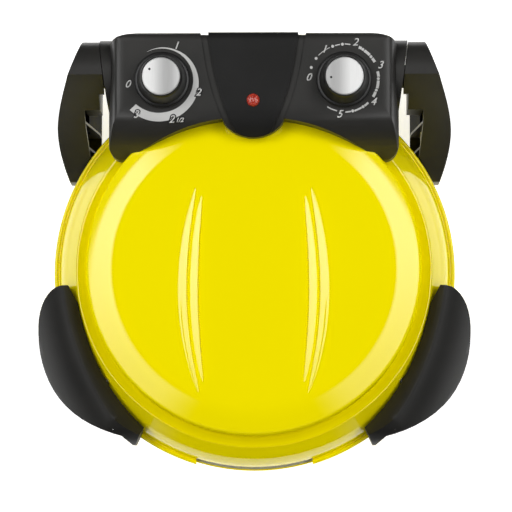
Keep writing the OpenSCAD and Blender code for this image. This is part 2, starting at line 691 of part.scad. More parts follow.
function housing_plan() = shifted(both_halves(housing_half()), [0, hinge_y]);

// Side view: front slope, flat panel, rear face and rounded rear edges
function housing_side() = shifted(chain([
    [[-80, -44], [20, -44]],
    bez([[20, -44], [28, -42], [rear_reach, -38], [rear_reach, -30]], 5),
    bez([[rear_reach, panel_rise - 9], [rear_reach, panel_rise - 3], [rear_reach - 3, panel_rise],
        [rear_reach - 9, panel_rise]], 5),
    bez([[-30, panel_rise], [-46, panel_rise], [-58, panel_rise - 10], [-68, panel_rise - 30]], 10),
    [[-68, panel_rise - 30], [-80, panel_rise - 52]]]), [hinge_y, hinge_z]);

// Front view: the sides lean out and round over into the panel
function housing_front() = let (half = shifted(chain([
    [[w, -60], [w, -6]],
    bez([[w, -6], [w - 1.5, panel_rise - 24], [w - 3, panel_rise - 10], [w - 6, panel_rise - 4]], 6),
    bez([[w - 6, panel_rise - 4], [w - 8.5, panel_rise - 0.6], [w - 11, panel_rise], [w - 16, panel_rise]], 4)]),
    [0, hinge_z])) both_halves(half);

// The housing's outer form, pulled in by g
module housing_form(g) intersection() {
    linear_extrude(panel_z + 10) polygon(closed_beside(housing_plan(), g));
    along_x(closed_beside(housing_side(), g), -w - cut, w + cut);
    along_y(closed_beside(housing_front(), g), hinge_y - 90, hinge_y + 60);
}

// Outline between the stepped grooves; side g further in
function shield_plan(g) = let (half = chain([
    [[0, -61], [15 - g, -61]],
    bez([[15 - g, -61], [18 - g, -57.5], [21 - g, -53], [24.1 - g, -47]], 3),
    bez([[24.1 - g, -47], [39.2 - g, -14.6], [41.4 - g, 9], [45.2 - g, rear_reach + 2]], 8)]))
    shifted(both_halves(half), [0, hinge_y]);

shield_step = 6.5;
groove_h = 1.5;

module shield_layer(g, below, above) intersection() {
    linear_extrude(panel_z + 20) polygon(shield_plan(g));
    difference() {
        along_x(closed_beside(housing_side(), -above), -w, w);
        along_x(closed_beside(housing_side(), below), -w - cut, w + cut);
    }
    translate([-w, 0, hinge_z + 2]) cube([2 * w, 2 * lid_r, 100]);
}

module control_housing() color(black) place() difference() {
    union() {
        difference() {
            housing_form(0);
            housing_form(wall);
        }
        intersection() {
            housing_form(0);
            union() {
                both_sides() {
                    for (a = housing_tier_screws) on_tier(a, screw_t) cylinder(r = 5, h = 28);
                    for (a = housing_shoulder_screws) on_shoulder(a, screw_t) cylinder(r = 5, h = 30);
                }
            }
        }
        both_sides() difference() {
            rod_x(collar_r, w - 4, collar_end, hinge_y, hinge_z);
            difference() {
                rod_x(collar_r - wall, w - 5, collar_end, hinge_y, hinge_z);
                beyond_seam(-wall);
            }
            beyond_seam(0);
        }
        both_sides() rod_x(boss_r, collar_in, collar_end, hinge_y, hinge_z);
    }
    housing_floor_opening();
    dome_envelope(seat, 0);
    shield_layer(0, groove_h, cut);
    both_sides() {
        rod_x(pin_d / 2 + pin_fit, collar_in - cut, collar_end + cut, hinge_y, hinge_z);
        translate([knob_x, hinge_y - knob_y, panel_z - wall - cut]) cylinder(r = bush_r + 0.1, h = 3 * wall);
        for (a = housing_tier_screws) on_tier(a, screw_t) cylinder(r = screw_hole, h = 14);
        for (a = housing_shoulder_screws) on_shoulder(a, screw_t) cylinder(r = screw_hole, h = 14);
    }
    translate([0, hinge_y - lamp_y, panel_z - 20]) cylinder(r = lamp_r + 0.1, h = 40);
    rod_y(gland_r + 0.1, hinge_y, hinge_y + rear_reach + cut, gland_x, gland_z);
}

// The tub is open below, inside its walls
module housing_floor_opening() intersection() {
    translate([0, 0, block_z - cut]) linear_extrude(wall + 2 * cut) polygon(closed_beside(housing_plan(), wall));
    along_y([[-w + wall, 0], [-w + wall, panel_z], [w - wall, panel_z], [w - wall, 0]], 0,
        hinge_y + rear_reach - 12);
}

module housing_base() color([0.3, 0.3, 0.3]) place() difference() {
    intersection() {
        housing_form(wall + 0.25);
        translate([-w, 0, block_z]) cube([2 * w, 2 * lid_r, wall + 2.5]);
    }
    dome_envelope(seat, 0);
    cylinder(r = lid_r + seat, h = panel_z, $fn = 180);
}

module centre_panel() color([0.1, 0.1, 0.1]) place() difference() {
    intersection() {
        shield_layer(shield_step, groove_h, 1);
        linear_extrude(panel_z + 20) polygon(housing_plan());
    }
    dome_envelope(seat, 0);
    translate([0, hinge_y - lamp_y, panel_z - 20]) cylinder(r = lamp_r + 0.1, h = 40);
}

// ---- Pilot lamp --------------------------------------------------------------------------

lamp_r = lamp_d / 2;

module pilot_lens() color([0.8, 0.1, 0.05]) place() translate([0, hinge_y - lamp_y, panel_z]) rotate_extrude()
    polygon(concat([[0, -5], [lamp_r, -5], [lamp_r, 1.6]],
        bez([[lamp_r, 1.6], [lamp_r - 0.4, 3.4], [lamp_r / 2, 4.4], [0, 4.6]], 6)));

module pilot_lamp() color("white") place() translate([0, hinge_y - lamp_y, panel_z]) {
    translate([0, 0, -22]) cylinder(r = lamp_r - 0.7, h = 17);
    for (s = [-1, 1]) translate([s * 2.5 - 0.4, -1.5, -28]) cube([0.8, 3, 6.5]);
}

// ---- Controls ------------------------------------------------------------------------------

bush_r = 4.8;
shaft_r = shaft_d / 2;
shaft_top = knob_h - 3.4;

// Control body under the panel, with its threaded bush through the panel
module control_body(size) difference() {
    union() {
        translate([-size[0] / 2, -size[1] / 2, -wall - size[2]]) cube(size);
        translate([0, 0, -wall]) cylinder(r = bush_r, h = wall + 0.3);
    }
    translate([0, 0, -wall - size[2] + 4]) cylinder(r = shaft_r + 0.05, h = size[2] + wall);
}

module at_knob(s) translate([s * knob_x, hinge_y - knob_y, panel_z]) children();

thermostat_size = [34, 28, 20];
timer_size = [36, 32, 24];
bulb_d = 5;

module thermostat() color([0.85, 0.85, 0.82]) place() at_knob(-1) control_body(thermostat_size);

// The capillary leaves the thermostat, turns in through the dome and ends in the bulb
module thermostat_bulb() color([0.72, 0.45, 0.3]) place() {
    start_z = panel_z - wall - thermostat_size[2];
    entry = tier_r + 16;
    rotate(bulb_a) translate([entry, 0, start_z]) rotate([180, 0, 180])
        run([[start_z - bulb_z - lead_bend, 90, 0], [entry - lead_bend - (tray_r - 12), 0, 0]], 2.4);
    rotate(bulb_a) translate([ring_out - 18, 0, bulb_z]) rotate([0, 90, 0])
        cylinder(d = bulb_d, h = tray_r - 12 - ring_out + 18);
}

module timer() color([0.75, 0.75, 0.72]) place() at_knob(1) control_body(timer_size);

module timer_bell() color(silver) place() at_knob(1) translate([0, 0, -wall - timer_size[2]]) {
    translate([0, 0, -4]) cylinder(r = 2, h = 4);
    translate([0, 0, -11]) difference() {
        cylinder(r1 = 12.5, r2 = 11, h = 8);
        translate([0, 0, -cut]) cylinder(r1 = 11.6, r2 = 10.1, h = 8);
    }
}

// Knob moulding: flared skirt, hollow underneath, with a boss for the flatted shaft
module knob() {
    knob_r = knob_d / 2;
    cap_r = cap_d / 2;
    difference() {
        rotate_extrude() polygon([[0, knob_h - 4], [cap_r - 1, knob_h - 4], [knob_r - 5, 3.4], [knob_r - 2, 0.7],
            [knob_r - 0.8, 0.7], [knob_r, 1.6], [knob_r, 3], [knob_r - 0.9, 4], [knob_r - 2.6, 4.5],
            [cap_r + 2.6, knob_h - 4], [cap_r + 1.9, knob_h - 1], [cap_r + 1.1, knob_h],
            [cap_r + 0.05, knob_h], [cap_r + 0.05, knob_h - 1.2], [0, knob_h - 1.2]]);
        flatted_shaft(shaft_r + 0.03, knob_h - 6, shaft_top + 0.1);
    }
    difference() {
        translate([0, 0, 0.8]) cylinder(r = shaft_r + 3, h = knob_h - 3);
        flatted_shaft(shaft_r + 0.03, 0, shaft_top + 0.1);
    }
}

module flatted_shaft(r, z0, z1) difference() {
    translate([0, 0, z0]) cylinder(r = r, h = z1 - z0);
    translate([shaft_r - 1.2 + (r - shaft_r), -10, 2]) cube([10, 20, z1]);
}

module knob_cap() difference() {
    translate([0, 0, knob_h - 1.2]) rotate_extrude() polygon([[0, 0], [cap_d / 2, 0], [cap_d / 2, 1.3],
        [cap_d / 2 - 0.8, 2], [0, 2]]);
    translate([-cap_d / 2 + 4.5, 0, knob_h + 0.3]) cylinder(r = 1, h = 2);
}

module control_shaft(depth) {
    flatted_shaft(shaft_r, 0, shaft_top);
    translate([0, 0, -wall - depth + 4.2]) cylinder(r = shaft_r, h = wall + depth - 4.2);
}

temp_rest = -32;      // the index points up and to the left
timer_rest = 6;       // the index points left, at 0

module temp_knob() color(black) place() at_knob(-1) rotate(temp_rest) knob();
module temp_cap() color(silver) place() at_knob(-1) rotate(temp_rest) knob_cap();
module temp_shaft() color(silver) place() at_knob(-1) rotate(temp_rest) control_shaft(thermostat_size[2]);
module timer_knob() color(black) place() at_knob(1) rotate(timer_rest) knob();
module timer_cap() color(silver) place() at_knob(1) rotate(timer_rest) knob_cap();
module timer_shaft() color(silver) place() at_knob(1) rotate(timer_rest) control_shaft(timer_size[2]);

// ---- Wiring parts ------------------------------------------------------------------------------

block_x0 = collar_in - 29;
block_l = 14.7;

// Ceramic block on a foot from the rear wall; the lead ends in it, on the hinge axis
module terminal_block() color("white") place() difference() {
    union() {
        translate([block_x0, hinge_y - 9, hinge_z - 8]) cube([block_l, 18, 16]);
        translate([block_x0 + 1, hinge_y, hinge_z - 5]) cube([12, rear_reach - wall - 1.2, 10]);
    }
    for (y = [-5.5, 0, 5.5]) translate([block_x0 + block_l / 2, hinge_y + y, hinge_z + 3]) cylinder(r = 2, h = 8);
}

module thermal_fuse() color([0.85, 0.85, 0.85]) place() on_tier(72, 0.25) rod_y(3.5, -12, 12, 0, 3.6);

gland_x = -50;
gland_z = hinge_z - 16;
gland_r = 6;
cord_bore_r = 3.6;

module cord_gland() color(black) place() {
    rear = hinge_y + rear_reach;
    difference() {
        union() {
            rod_y(gland_r + 3, rear, rear + gland_out, gland_x, gland_z);
            rod_y(gland_r, rear - wall - 8, rear, gland_x, gland_z);
            rod_y(gland_r + 2.5, rear - wall - 5, rear - wall - seat, gland_x, gland_z);
        }
        rod_y(cord_bore_r, rear - wall - 9, rear + gland_out + cut, gland_x, gland_z);
    }
}

// ---- Lid handles -----------------------------------------------------------------------------------

crest_z = rim_z + 45;
wing_in = 235;          // inner face of the wing, from the middle of its arc

module lid_handle() difference() {
    intersection() {
        translate([0, 0, rim_z + seat]) linear_extrude(60) polygon(handle_plan());
        about_handle(concat([[wing_in - 12, rim_z], [wing_in - 12, rim_z + 16], [wing_in, crest_z - 10],
            [crest_r - 1.2, crest_z - 0.3], [crest_r, crest_z]],
            bez([[crest_r, crest_z], [crest_r + 10, crest_z - 2.5], [crest_r + 24, crest_z - 14],
                [crest_r + 35.5, rim_z + 7]], 12), [[crest_r + 35.5, rim_z]]));
        along_x(handle_side(), 0, lid_r + 30);
    }
    dome_envelope(seat, 0);
    difference() {
        intersection() {
            linear_extrude(crest_z) polygon(lobe_plan(wall));
            about_handle(concat([[crest_r + 4.5, rim_z - cut], [crest_r + 4.5, crest_z - 4.5]],
                bez([[crest_r + 4.5, crest_z - 4.5], [crest_r + 12, crest_z - 7], [crest_r + 21, crest_z - 16],
                    [crest_r + 32, rim_z + 7]], 10), [[crest_r + 32, rim_z - cut]]));
        }
        for (a = lid_handle_screws) on_tier(a, screw_t) cylinder(r = 5, h = 26);
    }
    for (a = lid_handle_screws) on_tier(a, screw_t) cylinder(r = screw_hole, h = 14);
}

// Side view of a lid handle: level crest, and a nose that falls at the wing's tip
function handle_side() = concat([[0, rim_z + seat], [0, crest_z + 5], [-110, crest_z + 5]],
    bez([[-125, crest_z + 1], [-143, crest_z - 3], [-152, crest_z - 16], [-153, rim_z + 6]], 8),
    [[-153, rim_z + seat]]);

module lid_handle_right() color(black) place() lid_handle();
module lid_handle_left() color(black) place() mirror([1, 0, 0]) lid_handle();

module lid_screws() color(silver) place() both_sides() {
    for (a = concat(housing_tier_screws, lid_handle_screws)) on_tier(a, screw_t) screw(sheet_t, 13);
    for (a = housing_shoulder_screws) on_shoulder(a, screw_t) screw(sheet_t, 13);
}

// ---- Nodes ---------------------------------------------------------------------------------------------

base_pan();
pan_liner();
stone();
stone_clips();
lower_element();
lower_element_clips();
lower_terminals();
hinge_bracket_left();
hinge_bracket_right();
bracket_covers();
hinge_pin_left();
hinge_pin_right();
hinge_washers();
hinge_clips();
lower_handle_left();
lower_handle_right();
foot_pads();
base_screws();
bridge_lead();
lid_dome();
lid_liner();
upper_element();
upper_element_clips();
upper_terminals();
control_housing();
housing_base();
centre_panel();
pilot_lens();
pilot_lamp();
thermostat();
thermostat_bulb();
timer();
timer_bell();
terminal_block();
thermal_fuse();
cord_gland();
lid_handle_left();
lid_handle_right();
lid_screws();
temp_knob();
temp_cap();
temp_shaft();
timer_knob();
timer_cap();
timer_shaft();
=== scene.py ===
"""Visual scene of a countertop pizza oven, built round its CAD model and in the same frame."""
from __future__ import annotations

import json
import logging
import math
from dataclasses import dataclass, replace
from enum import Enum
from functools import partial
from typing import Callable, Iterable, Sequence

import bmesh
import bpy
from mathutils import Matrix, Vector

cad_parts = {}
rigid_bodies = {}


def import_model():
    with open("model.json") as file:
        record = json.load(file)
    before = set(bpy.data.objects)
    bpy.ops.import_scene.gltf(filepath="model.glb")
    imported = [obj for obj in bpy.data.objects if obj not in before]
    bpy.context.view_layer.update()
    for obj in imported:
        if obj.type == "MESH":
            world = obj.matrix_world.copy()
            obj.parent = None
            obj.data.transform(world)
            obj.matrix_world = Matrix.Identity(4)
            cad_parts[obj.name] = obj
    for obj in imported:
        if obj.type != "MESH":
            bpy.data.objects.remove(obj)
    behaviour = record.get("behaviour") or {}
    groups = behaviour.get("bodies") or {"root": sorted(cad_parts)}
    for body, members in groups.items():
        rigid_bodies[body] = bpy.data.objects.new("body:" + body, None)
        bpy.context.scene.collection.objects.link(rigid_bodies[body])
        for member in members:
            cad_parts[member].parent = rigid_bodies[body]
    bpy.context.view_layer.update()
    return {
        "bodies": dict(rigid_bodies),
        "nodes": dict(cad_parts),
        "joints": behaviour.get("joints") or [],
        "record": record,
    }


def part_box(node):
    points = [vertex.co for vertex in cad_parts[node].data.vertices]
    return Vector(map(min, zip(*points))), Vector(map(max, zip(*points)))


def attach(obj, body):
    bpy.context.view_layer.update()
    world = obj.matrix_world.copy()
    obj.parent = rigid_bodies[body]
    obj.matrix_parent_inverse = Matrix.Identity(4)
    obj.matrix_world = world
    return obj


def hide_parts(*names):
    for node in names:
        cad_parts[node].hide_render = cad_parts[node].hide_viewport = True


LOG = logging.getLogger("pizza_oven")
MM = 0.001
# Points of a mesh that are closer than this, in metres, are one point.
MERGE_WITHIN = 2e-6
# Anything smaller counts as nothing, in the unit of what is measured.
SLIVER = 1e-6
# The knobs' axes: mm to each side of the middle, and in front of the hinge's axis.
KNOB_X = 77.2
KNOB_FRONT = 8.6
Colour = tuple[float, float, float]
Point2 = tuple[float, float]


class Side(Enum):
    """The two mirrored sides of the oven."""

    RIGHT = 1
    LEFT = -1


# ---- Node graphs and finishes -------------------------------------------------------------------


class Nodes:
    """A node tree, with short calls for the nodes that the finishes and the sky share."""

    def __init__(self, tree: bpy.types.NodeTree) -> None:
        """Work on a tree.

        Args:
            tree: the node tree.
        """
        self.tree = tree

    def fill(self, socket: bpy.types.NodeSocket, value: object) -> None:
        """Connect a socket to another node, or set its value.

        Args:
            socket: the input.
            value: another node's output, or a plain value.
        """
        if isinstance(value, bpy.types.NodeSocket):
            self.tree.links.new(value, socket)
        else:
            socket.default_value = value

    def node(self, kind: str, **values: object) -> bpy.types.Node:
        """Add a node and fill its sockets or set its properties.

        Args:
            kind: the node's type, without the ShaderNode prefix.
            values: sockets, with spaces of their names as underscores, or properties.

        Returns:
            The new node.
        """
        made = self.tree.nodes.new("ShaderNode" + kind)
        for key, value in values.items():
            socket = key.replace("_", " ")
            if socket in made.inputs:
                self.fill(made.inputs[socket], value)
            else:
                setattr(made, key, value)
        return made

    def maths(self, kind: str, *values: bpy.types.NodeSocket | float) -> bpy.types.NodeSocket:
        """Combine values.

        Args:
            kind: the operation's name.
            values: sockets or numbers, in order.

        Returns:
            The result's socket.
        """
        made = self.node("Math", operation=kind)
        for socket, value in zip(made.inputs, values):
            self.fill(socket, value)
        return made.outputs[0]

    def spread(self, value: bpy.types.NodeSocket, low: float, high: float, start: float = 0.0,
               end: float = 1.0, **settings: object) -> bpy.types.NodeSocket:
        """Map one range of values onto another.

        Args:
            value: the driving value.
            low: result at the start.
            high: result at the end.
            start: value that gives the low result.
            end: value that gives the high result.
            settings: properties of the node.

        Returns:
            The result's socket.
        """
        made = self.node("MapRange", Value=value, From_Min=start, From_Max=end, To_Min=low, To_Max=high,
                         **settings)
        return made.outputs["Result"]

    def step(self, value: bpy.types.NodeSocket, start: float, end: float) -> bpy.types.NodeSocket:
        """Blend smoothly from 0 at the start to 1 at the end."""
        return self.spread(value, 0.0, 1.0, start, end, interpolation_type="SMOOTHSTEP")

    def window(self, value: bpy.types.NodeSocket, rise: Point2, fall: Point2) -> bpy.types.NodeSocket:
        """Pass values between two soft edges.

        Args:
            value: the driving value.
            rise: start and end of the lower edge.
            fall: start and end of the upper edge.

        Returns:
            A socket that is 1 between the edges and 0 outside them.
        """
        return self.maths("MULTIPLY", self.step(value, *rise),
                          self.maths("SUBTRACT", 1.0, self.step(value, *fall)))


class Graph(Nodes):
    """A material's node tree, with the patterns that the finishes share."""

    def __init__(self, name: str) -> None:
        """Start an empty material.

        Args:
            name: the material's name.
        """
        self.material = bpy.data.materials.new(name)
        self.material.use_nodes = True
        super().__init__(self.material.node_tree)
        self.shader = self.tree.nodes["Principled BSDF"]

    def set(self, **values: object) -> None:
        """Fill sockets of the shader itself, with spaces of their names as underscores."""
        for key, value in values.items():
            self.fill(self.shader.inputs[key.replace("_", " ")], value)

    def noise(self, scale: float, detail: float,
              stretch: Sequence[float] = (1, 1, 1)) -> bpy.types.NodeSocket:
        """Add a noise pattern that lies still on the object.

        Args:
            scale: repeats for each metre.
            detail: octaves.
            stretch: extra scale along each axis.

        Returns:
            The noise value's socket.
        """
        moved = self.node("Mapping", Vector=self.node("TexCoord").outputs["Object"], Scale=stretch)
        made = self.node("TexNoise", Vector=moved.outputs["Vector"], Scale=scale, Detail=detail)
        return made.outputs["Fac"]

    def ramp(self, value: bpy.types.NodeSocket, low: Sequence[float], high: Sequence[float],
             start: float = 0.35, end: float = 0.65) -> bpy.types.NodeSocket:
        """Turn a value into a colour between two.

        Args:
            value: the driving value.
            low: colour at the start.
            high: colour at the end.
            start: value that gives the low colour.
            end: value that gives the high colour.

        Returns:
            The colour's socket.
        """
        made = self.node("ValToRGB", Fac=value)
        for element, place, colour in zip(made.color_ramp.elements, (start, end), (low, high)):
            element.position = place
            element.color = (*colour, 1)
        return made.outputs["Color"]

    def bump(self, value: bpy.types.NodeSocket, depth: float, strength: float) -> None:
        """Raise the surface by a pattern.

        Args:
            value: height pattern, 0 to 1.
            depth: height of the pattern in metres.
            strength: how strongly the normals follow.
        """
        made = self.node("Bump", Height=value, Distance=depth, Strength=strength)
        self.set(Normal=made.outputs["Normal"])


@dataclass(frozen=True)
class Enamel:
    """Glossy sprayed paint on pressed steel, dull in the crease under the lid's shoulder."""

    name: str
    colour: Colour
    shade: Colour
    roughness: float
    peel: float
    coat: float = 1.0
    coat_roughness: float = 0.03
    coat_index: float = 1.5
    drift_scale: float = 9.0
    patch_scale: float = 60.0
    patch: float = 0.04
    peel_scale: float = 420.0
    peel_strength: float = 0.35
    axis_y: float = 0.0
    crease_middle: float = 0.14455
    crease_half: float = 0.00215
    crease_fade: float = 0.0005

    def build(self) -> bpy.types.Material:
        """Return the paint, with its slight orange peel and drift of colour.

        Returns:
            The material.
        """
        graph = Graph(self.name)
        low, high = self.roughness - self.patch, self.roughness + self.patch
        graph.set(Base_Color=graph.ramp(graph.noise(self.drift_scale, detail=2), self.shade, self.colour),
                  Roughness=graph.spread(graph.noise(self.patch_scale, detail=3), low, high),
                  Coat_Weight=self.gloss(graph), Coat_Roughness=self.coat_roughness,
                  Coat_IOR=self.coat_index, Specular_IOR_Level=0.0)
        graph.bump(graph.noise(self.peel_scale, detail=2), self.peel, self.peel_strength)
        return graph.material

    def gloss(self, graph: Graph) -> bpy.types.NodeSocket:
        """Take the gloss off a narrow ring about the lid's axis.

        Args:
            graph: the paint's graph.

        Returns:
            The weight of the glossy coat.
        """
        place = graph.node("TexCoord").outputs["Object"]
        flat = graph.node("Mapping", Vector=place, Location=(0, -self.axis_y * MM, 0), Scale=(1, 1, 0))
        radius = graph.node("VectorMath", operation="LENGTH", Vector=flat.outputs["Vector"])
        away = graph.maths("ABSOLUTE", graph.maths("SUBTRACT", radius.outputs["Value"], self.crease_middle))
        return graph.spread(away, 0.0, self.coat, self.crease_half, self.crease_half + self.crease_fade)


@dataclass(frozen=True)
class Moulding:
    """Heat-resistant moulded plastic with a fine spark grain."""

    name: str
    colour: Colour
    worn: Colour
    roughness: float
    grain: float = 1500.0
    depth: float = 0.00003
    level: float = 0.5
    wear_scale: float = 35.0
    patch_scale: float = 18.0
    smoother: float = 0.05
    rougher: float = 0.06
    grain_strength: float = 0.5

    def build(self) -> bpy.types.Material:
        """Return the plastic.

        Returns:
            The material.
        """
        graph = Graph(self.name)
        low, high = self.roughness - self.smoother, self.roughness + self.rougher
        graph.set(Base_Color=graph.ramp(graph.noise(self.wear_scale, detail=4), self.colour, self.worn),
                  Roughness=graph.spread(graph.noise(self.patch_scale, detail=4), low, high),
                  Specular_IOR_Level=self.level)
        graph.bump(graph.noise(self.grain, detail=2), self.depth, self.grain_strength)
        return graph.material


@dataclass(frozen=True)
class Metal:
    """Bare or plated metal with a fine, even mottle."""

    name: str
    colour: Colour
    shade: Colour
    roughness: float
    scale: float = 60.0
    depth: float = 0.00001
    smoother: float = 0.06
    rougher: float = 0.08
    strength: float = 0.4

    def build(self) -> bpy.types.Material:
        """Return the metal.

        Returns:
            The material.
        """
        graph = Graph(self.name)
        mottle = graph.noise(self.scale, detail=5)
        low, high = self.roughness + self.rougher, self.roughness - self.smoother
        graph.set(Base_Color=graph.ramp(mottle, self.shade, self.colour, start=0.3, end=0.7),
                  Roughness=graph.spread(mottle, low, high), Metallic=1.0)
        graph.bump(mottle, self.depth, self.strength)
        return graph.material


@dataclass(frozen=True)
class BrushedDisc:
    """Aluminium disc brushed in straight lines, with the reflections of the side lights painted in as greys
    that change from one side to the other.
    """

    name: str
    painted_tones: tuple[Point2, ...]
    warmth: float = 0.99
    roughness: float = 0.4
    spread: float = 0.06
    metallic: float = 0.25
    line_scale: float = 45.0
    line_stretch: float = 60.0
    line_tone: float = 0.72
    line_share: float = 0.35
    line_depth: float = 0.000008
    line_strength: float = 0.3

    def build(self) -> bpy.types.Material:
        """Return the disc's finish.

        Returns:
            The material.
        """
        graph = Graph(self.name)
        parts = graph.node("SeparateXYZ", Vector=graph.node("TexCoord").outputs["Generated"])
        # Painted reflection: the greys across the disc stand in for the side lights mirrored in the metal.
        across = graph.node("ValToRGB", Fac=parts.outputs["X"])
        first, last = across.color_ramp.elements
        first.color, last.color = self.grey(self.painted_tones[0][1]), self.grey(self.painted_tones[-1][1])
        for place, tone in self.painted_tones[1:-1]:
            across.color_ramp.elements.new(place).color = self.grey(tone)
        lines = graph.noise(self.line_scale, detail=5, stretch=(self.line_stretch, 1, 1))
        streaks = graph.ramp(lines, (self.line_tone,) * 3, (1, 1, 1), start=0.3, end=0.7)
        mix = graph.node("Mix", data_type="RGBA", blend_type="MULTIPLY", Factor=self.line_share,
                         A=across.outputs["Color"], B=streaks)
        low, high = self.roughness + self.spread, self.roughness - self.spread
        graph.set(Base_Color=mix.outputs["Result"], Roughness=graph.spread(lines, low, high),
                  Metallic=self.metallic)
        graph.bump(lines, self.line_depth, self.line_strength)
        return graph.material

    def grey(self, tone: float) -> tuple[float, float, float, float]:
        """Return a slightly warm grey of a tone."""
        return (tone, tone, tone * self.warmth, 1)


@dataclass(frozen=True)
class Earthen:
    """Fired clay, ceramic or another matt mineral with speckles and pores."""

    name: str
    colour: Colour
    speck: Colour
    roughness: float = 0.85
    pores: float = 0.0002
    speck_scale: float = 320.0
    patch_scale: float = 90.0
    patch: float = 0.08
    pore_scale: float = 900.0
    pore_strength: float = 0.6

    def build(self) -> bpy.types.Material:
        """Return the mineral.

        Returns:
            The material.
        """
        graph = Graph(self.name)
        specks = graph.noise(self.speck_scale, detail=8)
        low, high = self.roughness - self.patch, self.roughness + self.patch
        graph.set(Base_Color=graph.ramp(specks, self.speck, self.colour, start=0.36, end=0.56),
                  Roughness=graph.spread(graph.noise(self.patch_scale, detail=4), low, high))
        graph.bump(graph.noise(self.pore_scale, detail=6), self.pores, self.pore_strength)
        return graph.material


@dataclass(frozen=True)
class Lens:
    """Tinted clear plastic with pressed facets."""

    name: str
    colour: Colour
    glow: Colour
    glow_strength: float
    roughness: float = 0.12
    coat: float = 0.6
    coat_roughness: float = 0.05
    facet_scale: float = 700.0
    facet_depth: float = 0.0006
    facet_strength: float = 0.8

    def build(self) -> bpy.types.Material:
        """Return the lens plastic.

        Returns:
            The material.
        """
        graph = Graph(self.name)
        place = graph.node("TexCoord").outputs["Object"]
        facets = graph.node("TexVoronoi", Vector=place, Scale=self.facet_scale).outputs["Distance"]
        graph.set(Base_Color=graph.ramp(facets, self.glow, self.colour, start=0.1, end=0.8),
                  Roughness=self.roughness, Coat_Weight=self.coat, Coat_Roughness=self.coat_roughness,
                  Emission_Strength=self.glow_strength, Emission_Color=(*self.glow, 1))
        graph.bump(facets, self.facet_depth, self.facet_strength)
        return graph.material


# Painted reflections of the side lights on each knob's cap: place and grey from left to right.
CAP_PAINTED_SHEEN = ((0.0, 1.0), (0.13, 1.0), (0.3, 0.92), (0.46, 0.68), (0.58, 0.55), (0.68, 0.51), (0.8, 0.56),
             (1.0, 0.8))
TIMER_CAP_PAINTED_SHEEN = ((0.0, 0.62), (0.2, 0.51), (0.34, 0.56), (0.5, 0.76), (0.66, 0.98), (0.87, 1.0), (1.0, 1.0))
FINISHES = {finish.name: finish for finish in (
    Enamel("yellow_paint", (0.985, 0.83, 0.0), (0.975, 0.82, 0.0), roughness=0.16, peel=0.000006),
    Metal("inner_sheet", (0.78, 0.78, 0.79), (0.68, 0.68, 0.69), roughness=0.34, scale=25.0),
    Earthen("stone", (0.62, 0.50, 0.37), (0.40, 0.29, 0.19)),
    Metal("heater_sheath", (0.13, 0.12, 0.12), (0.07, 0.06, 0.055), roughness=0.5, scale=90.0),
    Metal("steel", (0.62, 0.62, 0.63), (0.5, 0.5, 0.52), roughness=0.3, scale=120.0),
    Earthen("ceramic", (0.86, 0.84, 0.78), (0.76, 0.73, 0.66), roughness=0.6, pores=0.00005),
    Moulding("black_moulding", (0.019, 0.0185, 0.017), (0.023, 0.022, 0.02), roughness=0.4, level=0.42),
    # Darker copy of black_moulding: painted shade on the handles, whose fronts get less light.
    Moulding("handle_painted_shade_black", (0.0125, 0.0122, 0.011), (0.016, 0.0155, 0.014), roughness=0.5, level=0.22),
    # Near-black copy of the moulding: painted shade inside the brackets' hollows.
    Moulding("bracket_painted_shade_black", (0.005, 0.005, 0.0045), (0.007, 0.007, 0.0065), roughness=0.7, level=0.05),
    Moulding("panel_black", (0.0105, 0.0104, 0.01), (0.0125, 0.0124, 0.012), roughness=0.42, level=0.22),
    Moulding("rubber", (0.03,) * 3, (0.05,) * 3, roughness=0.75, grain=900.0, depth=0.00005, level=0.3),
    Earthen("lead_sleeve", (0.72, 0.71, 0.66), (0.5, 0.49, 0.45), roughness=0.7, pores=0.0001),
    Lens("red_lens", (0.30, 0.012, 0.006), (0.55, 0.06, 0.03), glow_strength=0.1),
    Moulding("lamp_body", (0.75, 0.73, 0.67), (0.7, 0.68, 0.62), roughness=0.5),
    Moulding("control_body", (0.55, 0.53, 0.48), (0.6, 0.58, 0.52), roughness=0.5),
    Metal("capillary", (0.72, 0.36, 0.20), (0.45, 0.2, 0.1), roughness=0.35),
    Metal("bell", (0.85, 0.85, 0.86), (0.7, 0.7, 0.72), roughness=0.2),
    Moulding("knob_black", (0.0095, 0.0095, 0.0092), (0.013, 0.013, 0.0125), roughness=0.38, grain=2500.0,
             level=0.35),
    Moulding("dial_ink", (0.62, 0.62, 0.60), (0.56, 0.56, 0.55), roughness=0.5, grain=2000.0, depth=0.00001,
             level=0.3),
    Moulding("dial_edge", (0.012,) * 3, (0.016,) * 3, roughness=0.5, grain=2000.0, depth=0.00001, level=0.3),
    BrushedDisc("brushed_cap", CAP_PAINTED_SHEEN),
    BrushedDisc("timer_cap_painted_sheen", TIMER_CAP_PAINTED_SHEEN),
)}


class Palette:
    """Makes each finish once and hands it out by its name, which most share with the record's slots."""

    def __init__(self, axis_y: float) -> None:
        """Start with nothing made.

        Args:
            axis_y: absolute place of the lid's axis in mm.
        """
        self.made: dict[str, bpy.types.Material] = {}
        self.axis_y = axis_y

    def get(self, name: str) -> bpy.types.Material:
        """Return the material of a finish.

        Args:
            name: the finish's name.

        Returns:
            The material, made at first use.
        """
        if name not in self.made:
            finish = FINISHES[name]
            if isinstance(finish, Enamel):
                finish = replace(finish, axis_y=self.axis_y)
            self.made[name] = finish.build()
        return self.made[name]


# ---- Curves and meshes --------------------------------------------------------------------------


def bezier(points: Sequence[Point2], count: int) -> list[Point2]:
    """Sample a cubic curve.

    Args:
        points: the four control points.
        count: number of segments.

    Returns:
        The points along the curve, both ends included.
    """
    made = []
    for i in range(count + 1):
        t = i / count
        weights = ((1 - t) ** 3, 3 * (1 - t) ** 2 * t, 3 * (1 - t) * t * t, t ** 3)
        made.append(tuple(sum(w * p[k] for w, p in zip(weights, points)) for k in (0, 1)))
    return made


